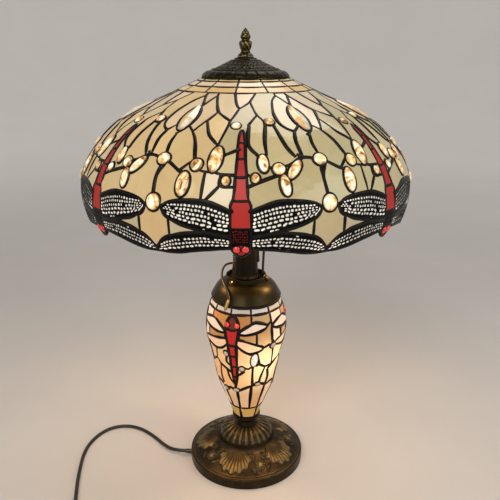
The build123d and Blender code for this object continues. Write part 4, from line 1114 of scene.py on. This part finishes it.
vase_network = [
    [(31, 256.5), (38.5, 262)], [(39, 275), (39, 248), (40, 232)], [(25, 222.5), (31, 224), (36, 226)],
    [(40, 232), (43, 228)], [(15, 246.5), (15, 230)], [(-62, 247), (-62, 233)],
    [(-76, 226.5), (-80, 231)], [(16, 215.5), (20, 202), (22, 193)], [(22, 193), (33, 186), (45, 188)],
    [(43, 217), (45, 203), (46, 188)], [(22, 193), (16, 190)], [(6, 215), (5, 213), (9, 212)],
    [(11, 190), (11, 170), (12, 152)], [(33, 186), (27, 168), (25, 158)], [(9, 190), (4, 186), (-1, 187)],
    [(-13, 190), (-15, 190)], [(-3, 181.5), (-9, 176), (-15.6, 172)],
    [(-48, 216), (-53, 197)], [(-53, 197), (-45, 187), (-34, 181), (-25, 177)], [(-53, 197), (-67, 189), (-80, 180)],
    [(-46, 187), (-50, 168), (-49, 152)], [(-28, 216), (-31, 215)], [(-31, 207), (-33, 195), (-26, 190)],
    [(-34, 181), (-30, 165), (-22, 156)],
    [(-80, 180), (-77, 165), (-80, 150)],
    [(-80, 150), (-64, 152), (-51, 148)], [(-39, 143), (-33, 146), (-27, 144)], [(-13, 143), (0, 149), (15, 154)],
    [(29, 155), (40, 150)], [(-20.5, 152), (-20, 148)],
    [(-48, 139), (-48, 102)], [(-19, 140), (-20, 102)], [(10, 152), (10, 102)], [(39, 150), (38, 102)],
    [(-22, 102), (-22, 81)], [(38, 102), (38, 81)],
]
vase_lines = [smooth_line(on_vase(line), 3.5, VASE_WIDE)
              for line in vase_top + amber_joints + vase_body + vase_wings + vase_network]
vase_nuggets = [(13, 202, 11, 25, 4), (42, 222.5, 10, 9, 0), (-7, 186, 9, 8, 0), (-20, 144, 10, 7, 0),
                (-45, 142.5, 9, 7, 0), (-31, 211, 8, 9, 0), (22, 155.5, 9, 6, 0)]
nugget_places = [(a + HEAD_TURN, float(vase_wall.length_at(z)), width, height, lean)
                 for a, z, width, height, lean in vase_nuggets]
nugget_lines = [ellipse_line(vase_wall, *place, count=20) for place in nugget_places]
vase_hoop_a = np.arange(-VASE_SECTOR / 2, VASE_SECTOR / 2 + 0.01, 4)
vase_hoops = {z: float(vase_wall.length_at(z)) for z in (80.0, 102.0, 275.0, 284.0)}
hoop_lines = [level_line(vase_hoop_a, s) for s in vase_hoops.values()]
vase_met = meet(vase_lines + nugget_lines + hoop_lines, VASE_SECTOR, VASE_WIDE, 6.0)
points, cells = cells_of(vase_wall, vase_met, vase_hoops[80.0] - 3, vase_hoops[284.0] + 1.0, VASE_SECTOR,
                         VASE_WIDE, 6.0)
wing_shapes = [np.array(line) for line in vase_wings]
# Vase panes near this spot are painted brighter and warmer: a painted glow from the night-light bulb inside.
BULB_SPOT = np.array([0.034, -0.04, 0.192])  # where the vase looks brightest from outside
BULB_REACH, BULB_GLOW = 0.036, (1.35, 1.0, 0.58)


def vase_colour(a, z):
    """A vase pane's colour from its angle seen from the front and its height."""
    if z > 275:
        return lit_colour((164, 160, 162))
    if z > 262:
        return lit_colour(random.choice([(158, 118, 74), (150, 127, 90), (162, 113, 66)]))
    if z < 102:
        return lit_colour((184, 146, 88))
    if any(inside_line(shape, np.array([[a, z]]))[0] for shape in wing_shapes):
        return lit_colour((204, 184, 174)) if z > 244 else lit_colour((218, 178, 148))
    if z > 230:
        return lit_colour(random.choice([(158, 116, 70), (138, 119, 85), (154, 126, 86), (162, 113, 64)]))
    if z < 148:
        return lit_colour(random.choice([(208, 170, 138), (196, 152, 112)]))
    return lit_colour(random.choice([(214, 160, 106), (208, 148, 94), (212, 172, 122)]))


kinds = {kind: Gathered() for kind in ("bottom", "lower", "field", "top", "red")}
for faces, _, a, _, place in cells:
    z = place[2] / MM
    s = float(vase_wall.length_at(z))
    if any((math.radians(a - na) * vase_wall.radius(s) / (w / 2)) ** 2 + ((s - ns) / (h / 2)) ** 2 < UNDER_JEWEL
           for na, ns, w, h, _ in nugget_places):
        continue
    reach = (points[faces][:, :, 0] + VASE_SECTOR / 2) % VASE_SECTOR - VASE_SECTOR / 2
    if abs(reach).max() < 11.2 and 151 < z < 274:
        kind, tint = "red", lit_colour((182 if z < 250 else 96, 28, 20))
    else:
        kind = "bottom" if z < 102 else "lower" if z < 146 else "field" if z < 275 else "top"
        tint = vase_colour(a - HEAD_TURN, z)
    # Every pane but the red ones takes on the painted bulb glow.
    painted_glow = None if kind == "red" else (BULB_SPOT, BULB_REACH, BULB_GLOW)
    pane(vase_wall, points, faces, kinds[kind], tint, GLASS, 0.25, 0.5, painted_glow)
for kind, slot, node in (("bottom", "amber_glass", "vase_bottom_row"), ("lower", "cream_glass", "vase_lower_panels"),
                         ("field", "vase_glass", "vase_field_panels"), ("top", "wing_glass", "vase_top_row")):
    kinds[kind].piece(f"vase_{kind}_panes", vase_glass, slot, "lamp", [node], smooth=False)
kinds["red"].piece("vase_dragonflies", red_glass, "red_glass", "lamp", ["vase_dragonfly_bodies"], smooth=False)

vase_lead, nuggets, vase_eyes = Gathered(), Gathered(), Gathered()
vase_eye_s = float(vase_wall.length_at(259.5))
for turn in np.arange(VASE_FLIES) * VASE_SECTOR:
    for index, line in enumerate(vase_lines):
        width = VASE_FINE_LEAD if index < len(vase_top) + len(amber_joints) else VASE_LEAD
        came(vase_wall, shifted(line, turn), width, vase_lead, LEAD_DEPTH, LEAD_HEIGHT)
    for index, (place, line) in enumerate(zip(nugget_places, nugget_lines)):
        came(vase_wall, shifted(line, turn), VASE_FINE_LEAD, vase_lead, LEAD_DEPTH, LEAD_HEIGHT + 0.1, 0.1, True)
        jewel(vase_wall, shifted(line, turn), (place[0] + turn, place[1]), 2.2, nuggets,
              (1, 1, 0.97) if index == 0 else (0.50, 0.42, 0.34), GLASS)
    for side in (-1, 1):
        eye(vase_wall, (side * 7.2 + turn, vase_eye_s), 8.0, 2.6, vase_eyes, 0.9, vase_lead, 20)
circle = np.arange(0, 361, 4.0)
for s, width in zip([vase_hoops[80.0] - 2.2, *vase_hoops.values()], (1.9, 1.9, 2.6, 2.5, 2.0)):
    came(vase_wall, level_line(circle, s), width, vase_lead, LEAD_DEPTH, LEAD_HEIGHT, 0.08, True)
vase_lead.piece("vase_lead", patina, "patina", "lamp", ["vase_leading"])
nuggets.piece("vase_nuggets", clear_jewel, "jewel_glass", "lamp")
vase_eyes.piece("vase_ruby_eyes", ruby_glass, "ruby_glass", "lamp")


# ---- cast foot ----
def turned_relief(name, wall, low, high, material, slot, body, replaced, relief, count, along_step, inner):
    """A wall turned right round with relief(angle, s) mm of height on it and a ridge share, as a closed shell."""
    stations = np.arange(low, high + along_step / 2, along_step)
    stations[-1] = high
    a, s = np.meshgrid(np.arange(count) * 360 / count, stations)
    height, ridge = relief(a, s)
    outer = wall.spots(a, s, -height).reshape(-1, 3)
    base = wall.spots(a, s, inner).reshape(-1, 3)
    faces = turned_out(wall, outer, ring_faces(len(stations) - 1, count), (a[0, 0], s[0, 0]))
    both, closed = shell(outer, base, faces)
    gathered = Gathered()
    gathered.add(both, closed)
    obj = gathered.piece(name, material, slot, body, replaced)
    share = np.concatenate([ridge.ravel(), np.zeros(ridge.size)])
    colour = obj.data.color_attributes.new("ridge", "FLOAT_COLOR", "POINT")
    colour.data.foreach_set("color", np.repeat(share, 4).astype(float))
    return obj


foot_wall = Wall([(91.2, 0.0), (91.2, 14.4), (90.9, 15.3), (90.0, 15.6), (86.7, 16.0), (78, 20.4), (66, 26.6),
                  (56, 31.6), (48, 35.0), (46.0, 36.6), (43.2, 36.8), (42.6, 41.5), (42.2, 45), (39.5, 50.5),
                  (34.5, 55.0), (28, 58.2), (21, 60.4), (14.5, 61.5), (14.5, 66.4)], -90.0, sharp=True)
LOBES = 24
LEAVES = 5
LEAF_TURN = -17.0


def foot_relief(a, s):
    """Gadroons on the dome, a rope of beads round it, and leaves and flowers out to the rim."""
    r = foot_wall.radius(s)
    height = np.zeros_like(s)
    dome = eased(s, foot_wall_at(42.6, 41.0), foot_wall_at(41.8, 46.0)) * (
        1 - eased(s, foot_wall_at(20, 60.7), foot_wall_at(15, 61.5)))
    lobe = np.abs(np.cos(np.radians(a * LOBES / 2))) ** 0.55
    height += dome * (lobe - 0.78) * 3.4
    rope_s = foot_wall_at(46.0, 36.6)
    rope = np.exp(-((s - rope_s) / 1.3) ** 2)
    height += rope * (0.5 + 0.8 * np.abs(np.sin(np.radians(a * 36 + 20 * (s - rope_s)))))
    line = np.exp(-((r - 87.6) / 0.5) ** 2) * (s > 16.5) + np.exp(-((r - 84.5) / 0.4) ** 2) * (s > 16.5) * 0.5
    height += 0.5 * line
    apron = (r < 83.5) & (r > 44.5) & (s < rope_s)
    for index in range(LEAVES):
        turn = (a - LEAF_TURN - index * 360 / LEAVES + 180) % 360 - 180
        over, down = r * np.sin(np.radians(turn)), r * np.cos(np.radians(turn))
        root = 36.0
        fan = np.degrees(np.arctan2(over, down - root))
        reach = np.hypot(over, down - root)
        scallop = 0.90 + 0.10 * np.abs(np.cos(np.radians(fan * 180 / 17)))
        edge = 47.5 * (1 - 0.34 * (fan / 54) ** 2) * scallop
        body = eased(edge - reach, 0, 1.6) * eased(54 - np.abs(fan), 0, 5) * apron
        rib = np.abs(np.cos(np.radians(fan * 180 / 8.5))) ** 0.7
        curl = 0.55 + 0.65 * eased(reach / np.maximum(edge, 1), 0.55, 0.95)
        height = np.maximum(height, body * curl * (0.7 + 1.5 * rib) * 1.25)
        turn = (turn - 180 / LEAVES + 180) % 360 - 180
        over, down = r * np.sin(np.radians(turn)), r * np.cos(np.radians(turn)) - 69.0
        far = np.hypot(over, down)
        way = np.degrees(np.arctan2(down, over))
        petal_edge = 8.2 * (0.82 + 0.18 * np.abs(np.cos(np.radians(way * 9 / 2))))
        flower = eased(petal_edge - far, 0, 1.2) * (0.7 + 0.5 * np.abs(np.cos(np.radians(way * 9 / 2))))
        knob = np.sqrt(np.clip(1 - (far / 3.4) ** 2, 0, 1)) * 2.2
        ring = np.exp(-((far - 4.3) / 0.5) ** 2) * 0.5
        height = np.maximum(height, (flower * 1.5 + knob - ring * 0.4) * apron)
        for side in (-1, 1):
            x, y = over - side * 10.5, down + 12.0
            curl_far = np.hypot(x, y)
            curl_way = np.degrees(np.arctan2(y, x)) * side
            scroll = np.exp(-((curl_far - 3.6 - curl_way / 130) / 1.0) ** 2) * (curl_far < 7.5)
            sprig = np.exp(-(((over * side - 11) * 0.8 + (down - 6) * 0.5) / 1.6) ** 2) * (
                np.exp(-((over * side - 12) ** 2 + (down - 5) ** 2) / 26))
            stem = np.exp(-((over * side - 6 - 0.02 * (down + 8) ** 2) / 0.9) ** 2) * (abs(down + 10) < 9)
            height = np.maximum(height, scroll * 1.9 * apron)
            height = np.maximum(height, sprig * 2.0 * apron)
            height = np.maximum(height, stem * 1.3 * apron)
    ridge = eased(height, 1.1, 2.4) * (apron | (rope > 0.3)) + dome * eased(lobe, 0.8, 1.0) * 0.55
    ridge += 0.6 * line
    return np.clip(height, -1.5, 2.6), np.clip(ridge * 0.8, 0, 1)


def foot_wall_at(r, z):
    """The length along the foot's outline nearest to a radius and height."""
    return float(foot_wall.s[np.hypot(foot_wall.r - r, foot_wall.z - z).argmin()])


turned_relief("cast_foot", foot_wall, 0.2, foot_wall.length, foot_bronze, "foot_bronze", "lamp", ["base_foot"],
              foot_relief, 560, 0.75, inner=2.4)


# ---- heat cap and finial ----
cap_wall = Wall([(60.0, 605.5), (60.0, 606.6), (58.6, 609.0), (56.0, 611.5), (53.0, 613.3), (47.5, 614.2),
                 (45.0, 615.4), (33.0, 621.0), (23.0, 625.6), (12.0, 630.1), (5.4, 630.2)], -90.0, sharp=True)


def cap_at(r):
    """The length along the cap's outline nearest to a radius."""
    return float(cap_wall.s[abs(cap_wall.r - r).argmin()])


def drop_hole(a, s, wide, tall, lean=0.0, pointed=0.45):
    """A teardrop hole in the cap, as (angle, length) points."""
    turn = np.arange(12) * math.tau / 12
    x, y = wide / 2 * np.cos(turn) * (1 - pointed * np.sin(turn)), tall / 2 * np.sin(turn)
    return leant(cap_wall, a, s, x, y, lean)


cap_parts = Gathered()
CAP_STEPS = 24
CAP_TURN = 360 / CAP_STEPS
for index in range(CAP_STEPS):
    low_a, high_a = index * CAP_TURN, (index + 1) * CAP_TURN
    edge_s = np.linspace(0, cap_wall.length, 26)
    outline = np.vstack([np.stack([np.full(26, low_a), edge_s], 1),
                         np.stack([np.linspace(low_a, high_a, 5)[1:-1], np.full(3, cap_wall.length)], 1),
                         np.stack([np.full(26, high_a), edge_s[::-1]], 1),
                         np.stack([np.linspace(high_a, low_a, 5)[1:-1], np.zeros(3)], 1)])
    middle = low_a + CAP_TURN / 2
    holes = [drop_hole(middle, cap_at(39.5), 4.6, 6.0), drop_hole(middle - 3.9, cap_at(32.5), 2.4, 4.4, 0.5),
             drop_hole(middle + 3.9, cap_at(32.5), 2.4, 4.4, -0.5),
             drop_hole(middle, cap_at(26.5), 2.8, 5.0, 0, -0.4),
             drop_hole(middle - 5.6, cap_at(42.2), 1.7, 2.4), drop_hole(middle + 5.6, cap_at(42.2), 1.7, 2.4)]
    cap_parts.add(*pierced(cap_wall, outline, holes, -1.3, 0.0, 0.7, 2.6))
for s, width in ((cap_at(46.0), 0.9), (cap_at(20.5), 0.8), (cap_at(14.0), 1.2)):
    came(cap_wall, level_line(circle, s), width, cap_parts, -0.1, 0.7, 0.02, True)
for index in range(48):
    blob(cap_wall, (index * 7.5, cap_at(44.4)), 1.3, cap_parts, -0.1, 0.7, 8)
cap_parts.piece("pierced_cap", cap_bronze, "cap_bronze", "shade", ["heat_cap"])

finial_wall = Wall([(10.8, 631.8), (10.4, 633.6), (8.0, 636.0), (6.4, 639.0), (7.4, 642.0), (8.95, 647.0),
                    (7.8, 651.0), (5.6, 653.6), (6.9, 655.2), (7.1, 656.7), (5.6, 661.0), (2.6, 666.0),
                    (0.15, 668.8)], -90.0)


def finial_relief(a, s):
    """Twisted leaves round the acorn, with beaded collars."""
    z = np.interp(s, finial_wall.s, finial_wall.z)
    bulge = eased(z, 639.5, 642) * (1 - eased(z, 651, 653))
    tip = eased(z, 656, 658) * (1 - eased(z, 665, 668))
    foot = 1 - eased(z, 635, 637)
    twist = np.abs(np.cos(np.radians(a * 4 + (z - 640) * 16)))
    scale = np.abs(np.cos(np.radians(a * 3 - z * 30))) * np.abs(np.cos(np.radians(a * 3 + z * 30)))
    bead = np.abs(np.cos(np.radians(a * 7)))
    height = bulge * (twist - 0.7) * 1.0 + tip * (scale - 0.4) * 0.7 + foot * (bead - 0.6) * 0.5
    height += np.exp(-((z - 654.2) / 0.7) ** 2) * (bead - 0.4) * 0.5
    ridge = eased(height, 0.05, 0.35)
    return np.clip(height - 0.3, -1.0, 0.0), ridge


turned_relief("carved_finial", finial_wall, 0.1, finial_wall.length, finial_bronze, "finial_bronze", "finial",
              ["finial"], finial_relief, 72, 0.45, inner=0.8)


# ---- pull chains ----
def ball(centre, radius, gathered, sides=10, rings=6):
    """A round bead."""
    spots = [np.array(centre) + (0, 0, radius)]
    for ring in range(1, rings):
        tip = math.pi * ring / rings
        spots += [np.array(centre) + radius * np.array([math.sin(tip) * math.cos(k * math.tau / sides),
                                                        math.sin(tip) * math.sin(k * math.tau / sides),
                                                        math.cos(tip)]) for k in range(sides)]
    spots.append(np.array(centre) - (0, 0, radius))
    gathered.add(spots, ball_faces(rings - 1, sides))


def lathed(outline, centre, gathered, sides=28):
    """A solid turned about an upright line, from (radius, height) points in mm with both ends on the line."""
    count = len(outline)
    spots = [((centre[0] + r * math.cos(k * math.tau / sides)) * MM,
              (centre[1] + r * math.sin(k * math.tau / sides)) * MM, z * MM)
             for k in range(sides) for r, z in outline]
    faces = [(k * count + i, (k + 1) % sides * count + i, (k + 1) % sides * count + i + 1, k * count + i + 1)
             for k in range(sides) for i in range(count - 1)]
    gathered.add(spots, faces)


CHAIN_Y, CHAIN_TOP = -46.0, 434.0
for side, x, bottom in (("left", -17.0, 317.0), ("right", 17.0, 354.0)):
    chain = Gathered()
    top = bottom + 36.0
    lathed([(0.02, bottom), (1.5, bottom + 0.3), (2.4, bottom + 1.4), (2.75, bottom + 3.4), (2.5, bottom + 6),
            (2.1, bottom + 7.4), (2.45, bottom + 8.6), (2.1, bottom + 9.8), (2.0, bottom + 18), (2.2, bottom + 26),
            (2.6, bottom + 28), (2.1, bottom + 29.6), (1.7, bottom + 33), (1.2, top - 0.6), (0.02, top)],
           (x, CHAIN_Y), chain)
    for z in np.arange(top + 1.2, CHAIN_TOP - 0.6, 3.3):
        ball((x * MM, CHAIN_Y * MM, z * MM), 1.45 * MM, chain)
    lathed([(0.02, top - 1), (0.45, top - 0.9), (0.45, CHAIN_TOP), (0.02, CHAIN_TOP + 0.2)], (x, CHAIN_Y), chain, 8)
    chain.piece(f"{side}_bead_chain", cap_bronze, "pull_bronze", f"{side}_pull", [f"{side}_pull_chain"])


# ---- floor, backdrop and light ----
BOWL_FLOOR, BOWL_CURVE, BOWL_TOP = 2.6, 1.6, 3.6
BOWL_SIDES = 96
BACKDROP, BACKDROP_LIFT = (0.60, 0.575, 0.545), (1.0, 0.955, 0.91)
bowl_line = [(r, 0.0) for r in np.linspace(0.3, BOWL_FLOOR, 12)]
bowl_line += [(BOWL_FLOOR + BOWL_CURVE * math.sin(t), BOWL_CURVE - BOWL_CURVE * math.cos(t))
              for t in np.linspace(0.1, math.pi / 2, 14)]
bowl_line.append((BOWL_FLOOR + BOWL_CURVE, BOWL_TOP))
turns = np.arange(BOWL_SIDES) * math.tau / BOWL_SIDES
spots = [(r * math.cos(turn), r * math.sin(turn), z) for r, z in bowl_line for turn in turns]
faces = [tuple(range(BOWL_SIDES)), *((a, d, c, b) for a, b, c, d in ring_faces(len(bowl_line) - 1, BOWL_SIDES))]
bowl_mesh = bpy.data.meshes.new("backdrop")
bowl_mesh.from_pydata(spots, [], faces)
bowl_mesh.shade_smooth()
# Far from the lamp the floor and the wall are lifted a little by a light of their own.
lift = bowl_mesh.attributes.new("lift", "FLOAT_COLOR", "POINT")
share = eased(np.repeat([r for r, _ in bowl_line], BOWL_SIDES), 0.8, BOWL_FLOOR + 0.6)
lift.data.foreach_set("color", np.repeat(share, 4))
made, shader = shader_of("backdrop")
tone = [(0.3, tuple(c * 0.94 for c in BACKDROP)), (0.7, BACKDROP)]
join(made, ramp_of(made, noise_of(made, 3.0, 3), tone), shader.inputs["Base Color"])
shader.inputs["Roughness"].default_value = 0.9
bump_of(made, shader, noise_of(made, 180.0, 3), 0.05, 0.001)
far_light = mixed(made, 1.0, tint_of(made, "lift").outputs["Color"], BACKDROP_LIFT, "MULTIPLY")
join(made, far_light, shader.inputs["Emission Color"])
shader.inputs["Emission Strength"].default_value = 0.2
bowl_mesh.materials.append(made)
backdrop = bpy.data.objects.new("backdrop", bowl_mesh)
scene.collection.objects.link(backdrop)


def light_at(name, kind, spot, power, colour, size, target=None):
    """A soft area light aimed at a target, or a round light."""
    data = bpy.data.lights.new(name, kind)
    setattr(data, "size" if target else "shadow_soft_size", size)
    data.energy = power
    data.color = colour
    light = bpy.data.objects.new(name, data)
    light.location = spot
    if target:
        light.rotation_euler = (Vector(target) - Vector(spot)).to_track_quat("-Z", "Y").to_euler()
    scene.collection.objects.link(light)


light_at("key", "AREA", (-0.7, -1.9, 1.9), 30, (1.0, 0.97, 0.93), 1.3, (0, 0, 0.35))
light_at("fill", "AREA", (1.6, -1.2, 1.2), 12, (0.95, 0.97, 1.0), 1.5, (0, 0, 0.3))
light_at("back", "AREA", (0.4, 0.9, 2.2), 11, (1.0, 0.98, 0.95), 1.2, (0, 0, 0.3))
for name, x in (("bulb_left", -0.165), ("bulb_right", 0.165)):
    light_at(name, "POINT", (x, 0, 0.415), 1.6, (1.0, 0.62, 0.3), 0.03)
world = bpy.data.worlds.new("world")
scene.world = world
world.use_nodes = True
world.node_tree.nodes["Background"].inputs["Color"].default_value = (0.86, 0.87, 0.9, 1)
world.node_tree.nodes["Background"].inputs["Strength"].default_value = 0.24
scene.view_settings.view_transform = "Standard"
